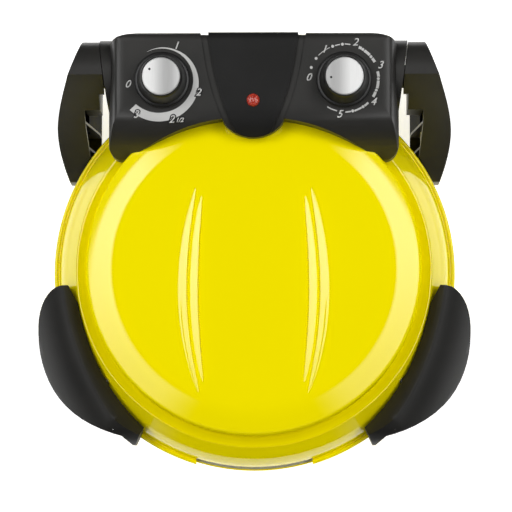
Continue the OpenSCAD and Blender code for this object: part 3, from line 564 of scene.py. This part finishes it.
def beside(path: Sequence[Point2], gap: float) -> list[Point2]:
    """Move an open path sideways.

    Args:
        path: the points of the path.
        gap: distance to the path's left.

    Returns:
        The moved points; one on the axis stays on it.
    """
    made = []
    for i, (r, z) in enumerate(path):
        a, b = path[max(i - 1, 0)], path[min(i + 1, len(path) - 1)]
        size = math.dist(a, b)
        out, up = -gap * (b[1] - a[1]) / size, gap * (b[0] - a[0]) / size
        made.append((0.0 if r == 0 else r + out, z + up))
    return made


def height_at(path: Sequence[Point2], place: float) -> float:
    """Read a profile's height.

    Args:
        path: points of place and height, in rising order of place.
        place: where to read it.

    Returns:
        The height there, or the last one beyond the end.
    """
    for (start, low), (end, high) in zip(path, path[1:]):
        if start <= place <= end:
            return low + (high - low) * (place - start) / max(end - start, SLIVER)
    return path[-1][1]


def close_seams(work: bmesh.types.BMesh) -> None:
    """Join points that meet, drop what that leaves without area, and turn every face outwards.

    Args:
        work: the faces, in metres.
    """
    bmesh.ops.remove_doubles(work, verts=work.verts, dist=MERGE_WITHIN)
    bmesh.ops.dissolve_degenerate(work, edges=work.edges, dist=SLIVER)
    bmesh.ops.recalc_face_normals(work, faces=work.faces)


def finished_mesh(work: bmesh.types.BMesh, name: str) -> bpy.types.Mesh:
    """Turn worked faces into a mesh.

    Args:
        work: the faces, freed here.
        name: the mesh's name.

    Returns:
        The mesh.
    """
    mesh = bpy.data.meshes.new(name)
    work.to_mesh(mesh)
    work.free()
    return mesh


def add_piece(name: str, mesh: bpy.types.Mesh, material: bpy.types.Material, body: str) -> bpy.types.Object:
    """Put a finished mesh into the scene on its body.

    Args:
        name: the piece's name.
        mesh: its mesh, in metres.
        material: its finish.
        body: the body that carries it.

    Returns:
        The new object.
    """
    mesh.materials.clear()
    mesh.materials.append(material)
    piece = bpy.data.objects.new(name, mesh)
    bpy.context.collection.objects.link(piece)
    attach(piece, body)
    LOG.info("made %s", name)
    return piece


def smooth_piece(piece: bpy.types.Object, crease: float) -> None:
    """Shade a piece smooth, apart from edges sharper than a crease angle.

    Args:
        piece: the object.
        crease: angle in degrees.
    """
    piece.data.polygons.foreach_set("use_smooth", [True] * len(piece.data.polygons))
    split = piece.modifiers.new("creases", "EDGE_SPLIT")
    split.split_angle = math.radians(crease)


# ---- Lid shell ----------------------------------------------------------------------------------


def eased(share: float) -> float:
    """Return a share of 0 to 1 with both ends smoothed."""
    return share * share * (3 - 2 * share)


def part_way(value: float, start: float, length: float) -> float:
    """Return how far a value is from start towards start + length, kept within 0 and 1."""
    return min(1.0, max(0.0, (value - start) / length))


@dataclass(frozen=True)
class CrescentRib:
    """One crescent-shaped rib: a long slope outwards from a ridge near its inner edge.

    Places are in mm about the dome's axis, and shares run from the rib's outer edge to its inner one.
    """

    name: str
    middle_x: float
    rear_x: float
    front_x: float
    front_y: float
    rear_y: float
    width: float
    slope: float = 0.29
    ridge: float = 0.86
    swell: float = 0.05
    taper: float = 2.2
    groove: float = 0.0
    groove_start: float = 0.26
    groove_length: float = 0.2
    groove_front: float = 0.15
    groove_fade: float = 0.4
    edge_sunk: float = 0.02
    sunk: float = 0.35
    rows: int = 120
    crease: float = 50.0
    shares: tuple[float, ...] = (
        0, 0.06, 0.12, 0.2, 0.28, 0.36, 0.44, 0.52, 0.6, 0.68, 0.76, 0.82, 0.86, 0.9, 0.94, 1)

    def lift(self, across: float, half: float, along: float) -> float:
        """Return how far the rib stands above the dome.

        Args:
            across: share of the way from the outer edge to the inner one.
            half: half the rib's width here, in mm.
            along: place along the rib, -1 at the front to 1 at the rear.

        Returns:
            The lift in mm, 0 at both edges.
        """
        if across > self.ridge:
            return self.lift(self.ridge, half, along) * eased((1 - across) / (1 - self.ridge))
        climbed = across / self.ridge
        # The groove opens towards the front.
        split = part_way(-along, -self.groove_front, self.groove_fade)
        dip = self.groove * split * eased(part_way(climbed, self.groove_start, self.groove_length))
        bulge = self.swell * math.sin(math.pi * climbed)
        return self.slope * 2 * half * self.ridge * (climbed - dip + bulge)

    def row(self, along: float, side: Side, ground: Callable[[float], float],
            axis_y: float) -> list[Vector]:
        """Return one closed cross-section.

        Args:
            along: place along the rib, -1 at the front to 1 at the rear.
            side: which side of the middle.
            ground: the dome's height in mm at a distance from its axis.
            axis_y: absolute place of the dome's axis in mm.

        Returns:
            The points over the top and back under it, in metres.
        """
        end_x = self.rear_x if along > 0 else self.front_x
        middle = self.middle_x + (end_x - self.middle_x) * along * along
        half = self.width / 2 * math.sqrt(max(0.0, 1 - abs(along) ** self.taper))
        y = (self.front_y + self.rear_y) / 2 + along * (self.rear_y - self.front_y) / 2
        tops, lows = [], []
        for share in self.shares:
            x = side.value * (middle + half * (1 - 2 * share))
            z = ground(math.hypot(x, y))
            edge = self.edge_sunk if share in (0, 1) else 0.0
            tops.append(Vector((x, y + axis_y, z - edge + self.lift(share, half, along))) * MM)
            lows.append(Vector((x, y + axis_y, z - self.sunk)) * MM)
        return tops + lows[::-1]

    def build(self, side: Side, ground: Callable[[float], float], axis_y: float,
              material: bpy.types.Material) -> None:
        """Make the rib as a closed strip pressed into the dome's face.

        Args:
            side: which side of the middle.
            ground: the dome's height in mm at a distance from its axis.
            axis_y: absolute place of the dome's axis in mm.
            material: the paint.
        """
        work = bmesh.new()
        rows = []
        for k in range(self.rows + 1):
            along = -math.cos(math.pi * k / self.rows)
            rows.append([work.verts.new(p) for p in self.row(along, side, ground, axis_y)])
        for a, b in zip(rows, rows[1:]):
            for i in range(len(a)):
                j = (i + 1) % len(a)
                work.faces.new([a[i], a[j], b[j], b[i]])
        work.faces.new(rows[0])
        work.faces.new(rows[-1][::-1])
        close_seams(work)
        name = f"{self.name}_{side.name.lower()}"
        piece = add_piece(name, finished_mesh(work, self.name), material, "lid")
        smooth_piece(piece, self.crease)


@dataclass
class DomeShell:
    """Pressed lid: crown, shoulder, shelf and wall in one turned sheet, with a bead cut at the front.

    Sizes are in mm, and those that end in _in are measured inwards from the lid's radius.
    """

    material: bpy.types.Material
    axis_y: float
    lid_r: float = 175.0
    lip_z: float = 84.0
    height: float = 76.0
    sheet: float = 1.2
    crown_in: float = 57.0
    step_in: float = 33.5
    tier_in: float = 22.0
    wall_in: float = 5.0
    tier_drop: float = 41.0
    crown_steps: int = 96
    slope_steps: int = 30
    bend_steps: int = 6
    edge_steps: int = 3
    foot_steps: int = 5
    bead: float = 2.0
    bead_turn: tuple[int, int, int] = (152, -151, -18)
    curl: Point2 = (3.6, 1.4)
    inner_every: int = 3
    inner_dense: float = 12.0
    notch: float = 101.0
    notch_top: float = 6.0
    notch_in: float = 6.0
    snap_in: float = 10.0
    snap_blend: float = 4.0
    columns: int = 384
    crease: float = 40.0
    ribs: tuple[CrescentRib, ...] = (
        CrescentRib("rib_inner", middle_x=50.2, rear_x=44.2, front_x=43.0, front_y=-99.0, rear_y=60.0,
                    width=7.6),
        CrescentRib("rib_outer", middle_x=60.2, rear_x=49.4, front_x=46.4, front_y=-108.0, rear_y=67.0,
                    width=8.8, groove=0.17))

    def outer_path(self) -> list[Point2]:
        """Return the outer face's profile from the middle down to the bead.

        Returns:
            Points of radius and height in mm.
        """
        lip, top = self.lip_z, self.lip_z + self.height
        tier_z = top - self.tier_drop
        crown, step = self.lid_r - self.crown_in, self.lid_r - self.step_in
        tier, wall = self.lid_r - self.tier_in, self.lid_r - self.wall_in
        runs = (
            (self.crown_steps, (50, top), (crown - 23, top - 3), (crown, top - 5.5)),
            (self.slope_steps, (crown + 8, top - 6.45), (step - 7, top - 9.7), (step, top - 12.3)),
            (self.bend_steps, (step + 1.4, top - 13), (step + 1.9, top - 14.6), (step + 2, top - 17)),
            (self.bend_steps, (step + 2.1, top - 22), (step + 2.1, tier_z + 8), (step + 2.2, tier_z + 2)),
            (self.bend_steps, (step + 2.3, tier_z + 1), (step + 2.8, tier_z + 0.7), (step + 4, tier_z + 0.6)),
            (self.bend_steps, (tier - 3, tier_z + 0.4), (tier - 0.8, tier_z + 0.1), (tier, tier_z - 0.1)),
            (self.edge_steps, (tier + 0.5, tier_z - 0.3), (tier + 0.8, tier_z - 0.6),
             (tier + 1.2, tier_z - 1.1)),
            (self.slope_steps, (tier + 7, tier_z - 8), (wall - 2.6, lip + 19), (wall, lip + 5)),
            (self.foot_steps, (wall + 0.1, lip + 3.6), (wall + 0.5, lip + 2.9), (wall + 1.2, lip + 2.9)))
        path = [(0.0, top)]
        for steps, *points in runs:
            path += bezier([path[-1], *points], steps)[1:]
        return path

    def section(self) -> list[Point2]:
        """Return the closed section, from pole to pole.

        Returns:
            Points of the outer face, the bead and the inner face.
        """
        outer = self.outer_path()
        middle_r, middle_z = self.lid_r - self.bead, self.lip_z + self.bead
        turns = [math.radians(a) for a in range(*self.bead_turn)]
        rolled = [(middle_r + self.bead * math.cos(a), middle_z + self.bead * math.sin(a)) for a in turns]
        rolled.append((middle_r - self.curl[0], self.lip_z + self.curl[1]))
        inner = [p for i, p in enumerate(beside(outer, -self.sheet))
                 if i % self.inner_every == 0 or p[1] < self.lip_z + self.inner_dense]
        return outer + rolled + inner[::-1]

    def column(self, section: Sequence[Point2], turn: float) -> list[Vector]:
        """Place the section at one angle, with the lip left out where the notch is.

        Args:
            section: the closed section.
            turn: angle round the axis, in radians from the right.

        Returns:
            The points in metres.
        """
        half, cut_z = self.notch / 2, self.lip_z + self.notch_top
        wall, snap_r = self.lid_r - self.wall_in, self.lid_r - self.snap_in
        from_front = math.remainder(turn + math.pi / 2, 2 * math.pi)
        edge = math.asin(half / (self.lid_r - self.notch_in))
        step = 2 * math.pi / self.columns
        side = math.copysign(1, from_front)
        inside = abs(from_front) < edge
        # The columns beside the notch lie on its straight sides.
        snaps = abs(from_front) > edge - step if inside else abs(from_front) < edge + step
        outward = len(section) // 2
        made = []
        for i, (r, z) in enumerate(section):
            if inside and z < cut_z:
                r, z = (wall if i < outward else wall - self.sheet), cut_z
            a = turn
            if snaps and r > snap_r:
                a += (side * math.asin(half / r) - from_front) * min(1.0, (r - snap_r) / self.snap_blend)
            made.append(Vector((r * math.cos(a), r * math.sin(a) + self.axis_y, z)) * MM)
        return made

    def build_ribs(self) -> None:
        """Press the crescent ribs into both sides of the crown."""
        ground = partial(height_at, self.outer_path())
        for rib in self.ribs:
            for side in Side:
                rib.build(side, ground, self.axis_y, self.material)

    def build(self) -> None:
        """Make the shell, which stands for the CAD node lid_dome, and its ribs."""
        section = self.section()
        work = bmesh.new()
        top = work.verts.new(Vector((0, self.axis_y, section[0][1])) * MM)
        under = work.verts.new(Vector((0, self.axis_y, section[-1][1])) * MM)
        rings = []
        for k in range(self.columns):
            points = self.column(section, 2 * math.pi * k / self.columns)
            rings.append([top] + [work.verts.new(p) for p in points[1:-1]] + [under])
        for k in range(self.columns):
            a, b = rings[k], rings[(k + 1) % self.columns]
            for i in range(len(section) - 1):
                corners = list(dict.fromkeys([a[i], a[i + 1], b[i + 1], b[i]]))
                if len(corners) > 2:
                    work.faces.new(corners)
        close_seams(work)
        mesh = finished_mesh(work, "dome_shell")
        shell = add_piece("dome_shell", mesh, self.material, "lid")
        smooth_piece(shell, self.crease)
        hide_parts("lid_dome")
        self.build_ribs()


# ---- Dial markings ------------------------------------------------------------------------------


@dataclass(frozen=True)
class PanelSurface:
    """Upper face of the control housing: flat at the rear, rounded down towards the front.

    Its places are in mm in front of the hinge's axis.
    """

    hinge_y: float
    panel_z: float = 176.0
    flat_to: float = 30.0
    side: tuple[Point2, ...] = ((30, 0), (46, 0), (58, -10), (68, -30))
    steps: int = 40

    def height(self, y: float) -> float:
        """Return the panel's height.

        Args:
            y: absolute place in mm.

        Returns:
            Height in mm.
        """
        front = self.hinge_y - y
        if front <= self.flat_to:
            return self.panel_z
        return self.panel_z + height_at(bezier(self.side, self.steps), front)


@dataclass
class DialMarks:
    """Printed ring and numerals round one knob, as a thin raised film that follows the panel.

    Places are in mm about the knob's axis. A part of a numeral after a bar is printed small.
    """

    name: str
    centre: Point2
    surface: PanelSurface
    ink: bpy.types.Material
    shadow: bpy.types.Material
    numerals: tuple[tuple[str, float, float], ...] = ()
    outlined: tuple[str, ...] = ()
    numeral_size: float = 6.4
    full_scale: float = 1.4
    small_scale: float = 0.8
    small_shift: Point2 = (1.05, 0.6)
    slant: float = 0.35
    stroke: float = 0.14
    edge_stroke: float = 1.0
    film: float = 0.09
    edge_film: float = 0.05
    numeral_film: float = 0.1
    sunk: float = 0.2
    longest_edge: float = 2.5
    seam: float = 0.004
    band_step: float = 3.0

    def film_piece(self, name: str, work: bmesh.types.BMesh, lift: float,
                   material: bpy.types.Material) -> None:
        """Lay flat faces on the panel, thicken them and add them as a piece.

        Args:
            name: the piece's name.
            work: flat faces about the knob's axis, in mm.
            lift: height of their top above the panel, in mm.
            material: the ink.
        """
        bmesh.ops.triangulate(work, faces=work.faces)
        long = [e for e in work.edges if e.calc_length() > self.longest_edge]
        if long:
            bmesh.ops.subdivide_edges(work, edges=long, cuts=2)
        bmesh.ops.recalc_face_normals(work, faces=work.faces)
        grown = bmesh.ops.extrude_face_region(work, geom=list(work.faces))
        top = {v for v in grown["geom"] if isinstance(v, bmesh.types.BMVert)}
        for v in work.verts:
            x, y = self.centre[0] + v.co.x, self.centre[1] + v.co.y
            v.co = Vector((x, y, self.surface.height(y) + (lift if v in top else -self.sunk))) * MM
        bmesh.ops.recalc_face_normals(work, faces=work.faces)
        add_piece(name, finished_mesh(work, name), material, "lid")

    def numeral(self, text: str, x: float, y: float, embolden: float) -> bmesh.types.BMesh:
        """Draw one slanted numeral.

        Args:
            text: its characters.
            x: middle, to the right of the knob's axis, in mm.
            y: middle, behind the knob's axis, in mm.
            embolden: how far the strokes grow, in mm.

        Returns:
            Its flat faces.
        """
        work = bmesh.new()
        for i, letters in enumerate(text.split("|")):
            curve = bpy.data.curves.new("numeral", "FONT")
            curve.body = letters
            curve.size = self.numeral_size * (self.small_scale if i else self.full_scale)
            curve.shear = self.slant
            curve.offset = embolden
            curve.align_x = "CENTER"
            curve.align_y = "CENTER"
            curve.resolution_u = 6
            holder = bpy.data.objects.new("numeral", curve)
            bpy.context.collection.objects.link(holder)
            bpy.context.view_layer.update()
            shaped = holder.evaluated_get(bpy.context.evaluated_depsgraph_get())
            mesh = bpy.data.meshes.new_from_object(shaped)
            right, down = i * self.numeral_size * self.small_shift[0], i * self.small_shift[1]
            mesh.transform(Matrix.Translation((x + right, y - down, 0)))
            work.from_mesh(mesh)
            bpy.data.objects.remove(holder)
            bpy.data.curves.remove(curve)
            bpy.data.meshes.remove(mesh)
        bmesh.ops.remove_doubles(work, verts=work.verts, dist=self.seam)
        return work

    def band(self, start: float, end: float, radii: Callable[[float], Point2]) -> bmesh.types.BMesh:
        """Draw a curved band about the knob's axis.

        Args:
            start: first angle in degrees.
            end: last angle in degrees.
            radii: inner and outer radius in mm at a share of the way.

        Returns:
            Its flat faces.
        """
        work = bmesh.new()
        steps = max(2, round(abs(end - start) / self.band_step))
        before = None
        for k in range(steps + 1):
            share = k / steps
            a = math.radians(start + (end - start) * share)
            pair = [work.verts.new((r * math.cos(a), r * math.sin(a), 0)) for r in radii(share)]
            if before:
                work.faces.new([before[0], before[1], pair[1], pair[0]])
            before = pair
        return work

    def dot(self, angle: float, radius: float, size: float) -> bmesh.types.BMesh:
        """Draw a round dot.

        Args:
            angle: degrees round the knob's axis.
            radius: distance from the axis in mm.
            size: diameter in mm.

        Returns:
            Its flat face.
        """
        work = bmesh.new()
        a = math.radians(angle)
        place = Matrix.Translation((radius * math.cos(a), radius * math.sin(a), 0))
        bmesh.ops.create_circle(work, cap_ends=True, segments=16, radius=size / 2, matrix=place)
        return work

    def build_numerals(self) -> None:
        """Print every numeral, those on the ring with a dark edge."""
        for i, (text, x, y) in enumerate(self.numerals):
            tag = f"{self.name}_numeral_{i}"
            if text in self.outlined:
                edge = self.numeral(text, x, y, self.edge_stroke)
                self.film_piece(tag + "_edge", edge, self.film + self.edge_film, self.shadow)
            face = self.numeral(text, x, y, self.stroke)
            self.film_piece(tag, face, self.film + self.numeral_film, self.ink)


@dataclass
class TemperatureMarks(DialMarks):
    """Tapering arc that widens clockwise from the thin end to the highest setting."""

    numerals: tuple[tuple[str, float, float], ...] = (
        ("0", -29.4, -3.6), ("1", 11.7, 29.3), ("2", 30.5, -10.7), ("2|1/2", 7.9, -33.4), ("3", -22.4, -29.3))
    outlined: tuple[str, ...] = ("2", "2|1/2", "3")
    start: float = 118.0
    end: float = -137.0
    inner: tuple[float, ...] = (27.3, 26.9, 26.4, 26.5, 27.6, 30.2)
    outer: tuple[float, ...] = (27.5, 28.3, 30.2, 32.6, 34.7, 37.4)

    @staticmethod
    def along(values: Sequence[float], share: float) -> float:
        """Read evenly spaced values at a share of their length.

        Args:
            values: the values.
            share: 0 at the first to 1 at the last.

        Returns:
            The value there.
        """
        place = share * (len(values) - 1)
        low = min(int(place), len(values) - 2)
        return values[low] + (values[low + 1] - values[low]) * (place - low)

    def build(self) -> None:
        """Print the arc and its numerals."""
        arc = self.band(self.start, self.end,
                        lambda s: (self.along(self.inner, s), self.along(self.outer, s)))
        self.film_piece(self.name + "_arc", arc, self.film, self.ink)
        self.build_numerals()


@dataclass
class TimerMarks(DialMarks):
    """Ring of dots and dashes, with thin lines at both ends.

    A dot is its angle in degrees and its radius, a dash its first and last angle, radius and width.
    """

    numerals: tuple[tuple[str, float, float], ...] = (
        ("0", -30.4, 2.0), ("1", -17.1, 26.0), ("2", 9.4, 32.0), ("3", 30.5, 12.4), ("4", 24.3, -19.0),
        ("5", -4.2, -29.4))
    dot_size: float = 2.5
    dots: tuple[Point2, ...] = (
        (159.3, 29.8), (142.4, 30.0), (108.7, 30.2), (92.7, 30.4), (58.5, 30.4), (40.8, 30.0), (1.7, 28.9),
        (-18.3, 28.6), (-55.5, 28.0), (-75.0, 27.6))
    dashes: tuple[tuple[float, float, float, float], ...] = (
        (136, 114, 30.1, 0.55), (105, 97, 30.3, 0.9), (89, 80, 30.6, 0.9), (66, 61, 30.5, 2.3),
        (55.5, 44, 30.2, 2.3), (37.5, 30, 30.0, 2.3), (14, 5, 29.2, 2.3), (-1.6, -15, 28.8, 2.3),
        (-21.6, -31, 28.5, 2.3), (-44, -52.5, 28.2, 1.7), (-58.5, -72, 27.9, 1.5), (-78, -88, 27.6, 1.1),
        (-103, -122, 27.2, 1.0))

    def build(self) -> None:
        """Print dots, dashes and numerals."""
        for i, (angle, radius) in enumerate(self.dots):
            dot = self.dot(angle, radius, self.dot_size)
            self.film_piece(f"{self.name}_dot_{i}", dot, self.film, self.ink)
        for i, (start, end, radius, width) in enumerate(self.dashes):
            dash = self.band(start, end, lambda s, r=radius, w=width: (r - w / 2, r + w / 2))
            self.film_piece(f"{self.name}_dash_{i}", dash, self.film, self.ink)
        self.build_numerals()


@dataclass(frozen=True)
class IndexDot:
    """Small dark dot that fills the pit near the rim of a knob's cap."""

    cap: str
    body: str
    offset: Point2
    radius: float = 1.05
    depth: float = 0.3
    sunk: float = 0.02

    def build(self, material: bpy.types.Material) -> None:
        """Make the dot in its cap.

        Args:
            material: its finish.
        """
        low, high = (Vector(v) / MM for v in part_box(self.cap))
        middle = (low + high) / 2
        z = high.z - self.sunk - self.depth / 2
        place = Matrix.Translation((middle.x + self.offset[0], middle.y + self.offset[1], z))
        work = bmesh.new()
        bmesh.ops.create_cone(work, cap_ends=True, segments=20, radius1=self.radius, radius2=self.radius,
                              depth=self.depth, matrix=place)
        bmesh.ops.scale(work, vec=(MM, MM, MM), verts=work.verts)
        name = self.cap + "_index"
        add_piece(name, finished_mesh(work, name), material, self.body)


# ---- CAD pieces that keep their own solids ------------------------------------------------------


@dataclass
class CarriedPieces:
    """The CAD nodes that show as they are, each with its finish and softened shading.

    A node takes the finish of its record's slot, or its own from the list of special ones.
    """

    palette: Palette
    weld: float = 0.00002
    crease: float = 32.0
    # Some special finishes paint light: darker blacks stand for shade on the handles and inside the brackets,
    # and the timer cap's greys for reflections of the side lights.
    special: tuple[tuple[str, str], ...] = (
        ("bracket_covers", "bracket_painted_shade_black"), ("timer_cap", "timer_cap_painted_sheen"),
        ("lid_handle_left", "handle_painted_shade_black"), ("lid_handle_right", "handle_painted_shade_black"),
        ("lower_handle_left", "handle_painted_shade_black"), ("lower_handle_right", "handle_painted_shade_black"))

    def dress(self, frame: dict) -> None:
        """Give every CAD node its material, smooth shading and split creases.
        """
        slots = {part["node"]: part["material_slot"] for part in frame["record"]["subparts"]}
        special = dict(self.special)
        for name, piece in frame["nodes"].items():
            piece.data.materials.clear()
            piece.data.materials.append(self.palette.get(special.get(name, slots[name])))
            merged = piece.modifiers.new("weld", "WELD")
            merged.merge_threshold = self.weld
            smooth_piece(piece, self.crease)
            LOG.info("dressed %s", name)


# ---- Studio -------------------------------------------------------------------------------------


@dataclass
class Studio:
    """Pale floor, a softbox high on each side, low side reflectors, and the camera.

    The camera's lift is in degrees, its distance in metres and scale_mm in mm for each pixel of a frame.
    A soft edge of the sky is where it starts and ends: a direction's height from -1 below to 1 above,
    or for rear and flank the share of it that goes backwards or sideways.
    """

    axis_y: float
    turn: float = 0.013
    lift: float = 85.0
    distance: float = 2.5
    scale_mm: float = 0.8755
    frame_px: int = 512
    sensor: float = 36.0
    target_mm: tuple[float, float, float] = (1.25, 14.55, 84.0)
    reach: float = 20.0
    floor_r: float = 0.42
    floor_sides: int = 96
    floor_white: float = 0.97
    floor_roughness: float = 0.95
    floor_glow: float = 0.72
    side_light: float = 7.5
    low_light: float = 3.3
    fill_light: float = 0.16
    rear: Point2 = (-0.9, 0.5)
    front_share: float = 0.35
    softbox: tuple[Point2, Point2] = ((0.69, 0.72), (0.885, 0.925))
    skirting: tuple[Point2, Point2] = ((-0.9, -0.6), (-0.14, -0.1))
    fill: tuple[Point2, Point2] = ((-0.2, 0.3), (0.5, 0.85))
    flank: Point2 = (0.42, 0.72)

    def floor(self) -> None:
        """Lay a plain white floor under the oven."""
        bpy.ops.mesh.primitive_circle_add(vertices=self.floor_sides, radius=self.floor_r, fill_type="NGON")
        ground = bpy.context.object
        ground.name = "floor"
        graph = Graph("floor_white")
        graph.set(Base_Color=(self.floor_white,) * 3 + (1,), Roughness=self.floor_roughness,
                  Specular_IOR_Level=0.0, Emission_Color=(1, 1, 1, 1), Emission_Strength=self.floor_glow)
        ground.data.materials.append(graph.material)

    def sky(self) -> None:
        """Light the oven from the two softboxes and the low reflectors, under a dark ceiling."""
        world = bpy.data.worlds.new("studio")
        world.use_nodes = True
        world.node_tree.nodes.clear()
        sky = Nodes(world.node_tree)
        x, y, z = sky.node("SeparateXYZ", Vector=sky.node("TexCoord").outputs["Generated"]).outputs
        depth = sky.maths("ADD", sky.maths("MULTIPLY", y, y), SLIVER)
        level = sky.maths("POWER", sky.maths("ADD", sky.maths("MULTIPLY", x, x), depth), 0.5)
        sideways = sky.step(sky.maths("DIVIDE", sky.maths("ABSOLUTE", x), level), *self.flank)
        rearward = sky.step(sky.maths("DIVIDE", y, level), *self.rear)
        behind = sky.maths("ADD", sky.maths("MULTIPLY", rearward, 1 - self.front_share), self.front_share)
        panels = []
        for edges, light in ((self.softbox, self.side_light), (self.skirting, self.low_light)):
            shape = sky.maths("MULTIPLY", sideways, sky.window(z, *edges))
            panels.append(sky.maths("MULTIPLY", shape, light))
        fill = sky.maths("MULTIPLY", sky.window(z, *self.fill), self.fill_light)
        strength = sky.maths("ADD", sky.maths("MULTIPLY", sky.maths("ADD", *panels), behind), fill)
        shaders = (sky.node("Background", Strength=strength), sky.node("Background"))
        either = sky.node("MixShader")
        sky.fill(either.inputs[0], sky.node("LightPath").outputs["Is Camera Ray"])
        for socket, shader in zip(either.inputs[1:], shaders):
            sky.fill(socket, shader.outputs[0])
        sky.node("OutputWorld", Surface=either.outputs[0])
        bpy.context.scene.world = world

    def camera(self) -> None:
        """Stand the camera nearly overhead, where the photograph was taken."""
        lift = math.radians(self.lift)
        back = Vector((self.turn, -math.cos(lift), math.sin(lift))).normalized()
        up = Vector((0, 1, 0))
        up = (up - up.dot(back) * back).normalized()
        right = up.cross(back)
        target = Vector((self.target_mm[0], self.target_mm[1] + self.axis_y, self.target_mm[2])) * MM
        data = bpy.data.cameras.new("camera")
        data.sensor_width = self.sensor
        data.lens = self.distance / (self.scale_mm * MM) * self.sensor / self.frame_px
        data.clip_end = self.reach
        made = bpy.data.objects.new("camera", data)
        place = target + back * self.distance
        made.matrix_world = Matrix((
            (right.x, up.x, back.x, place.x), (right.y, up.y, back.y, place.y),
            (right.z, up.z, back.z, place.z), (0, 0, 0, 1)))
        bpy.context.collection.objects.link(made)
        bpy.context.scene.camera = made

    def build(self) -> None:
        """Set up floor, lights, camera and plain colour handling."""
        self.floor()
        self.sky()
        self.camera()
        bpy.context.scene.view_settings.view_transform = "Standard"


def main() -> None:
    """Build the scene in order."""
    logging.basicConfig(level=logging.INFO, format="%(name)s: %(message)s")
    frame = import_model()
    low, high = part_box("stone")
    axis_y = (low[1] + high[1]) / 2 / MM
    low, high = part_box("hinge_pin_right")
    hinge_y = (low[1] + high[1]) / 2 / MM
    Studio(axis_y).build()
    palette = Palette(axis_y)
    CarriedPieces(palette).dress(frame)
    DomeShell(palette.get("yellow_paint"), axis_y).build()
    panel = PanelSurface(hinge_y)
    knob_y = hinge_y - KNOB_FRONT
    ink, edge = palette.get("dial_ink"), palette.get("dial_edge")
    TemperatureMarks("temperature", (-KNOB_X, knob_y), panel, ink, edge).build()
    TimerMarks("timer", (KNOB_X, knob_y), panel, ink, edge).build()
    IndexDot("temp_cap", "temperature_dial", (-9.67, 6.04)).build(edge)
    IndexDot("timer_cap", "timer_dial", (-11.34, -1.19)).build(edge)


if __name__ == "__main__":
    main()
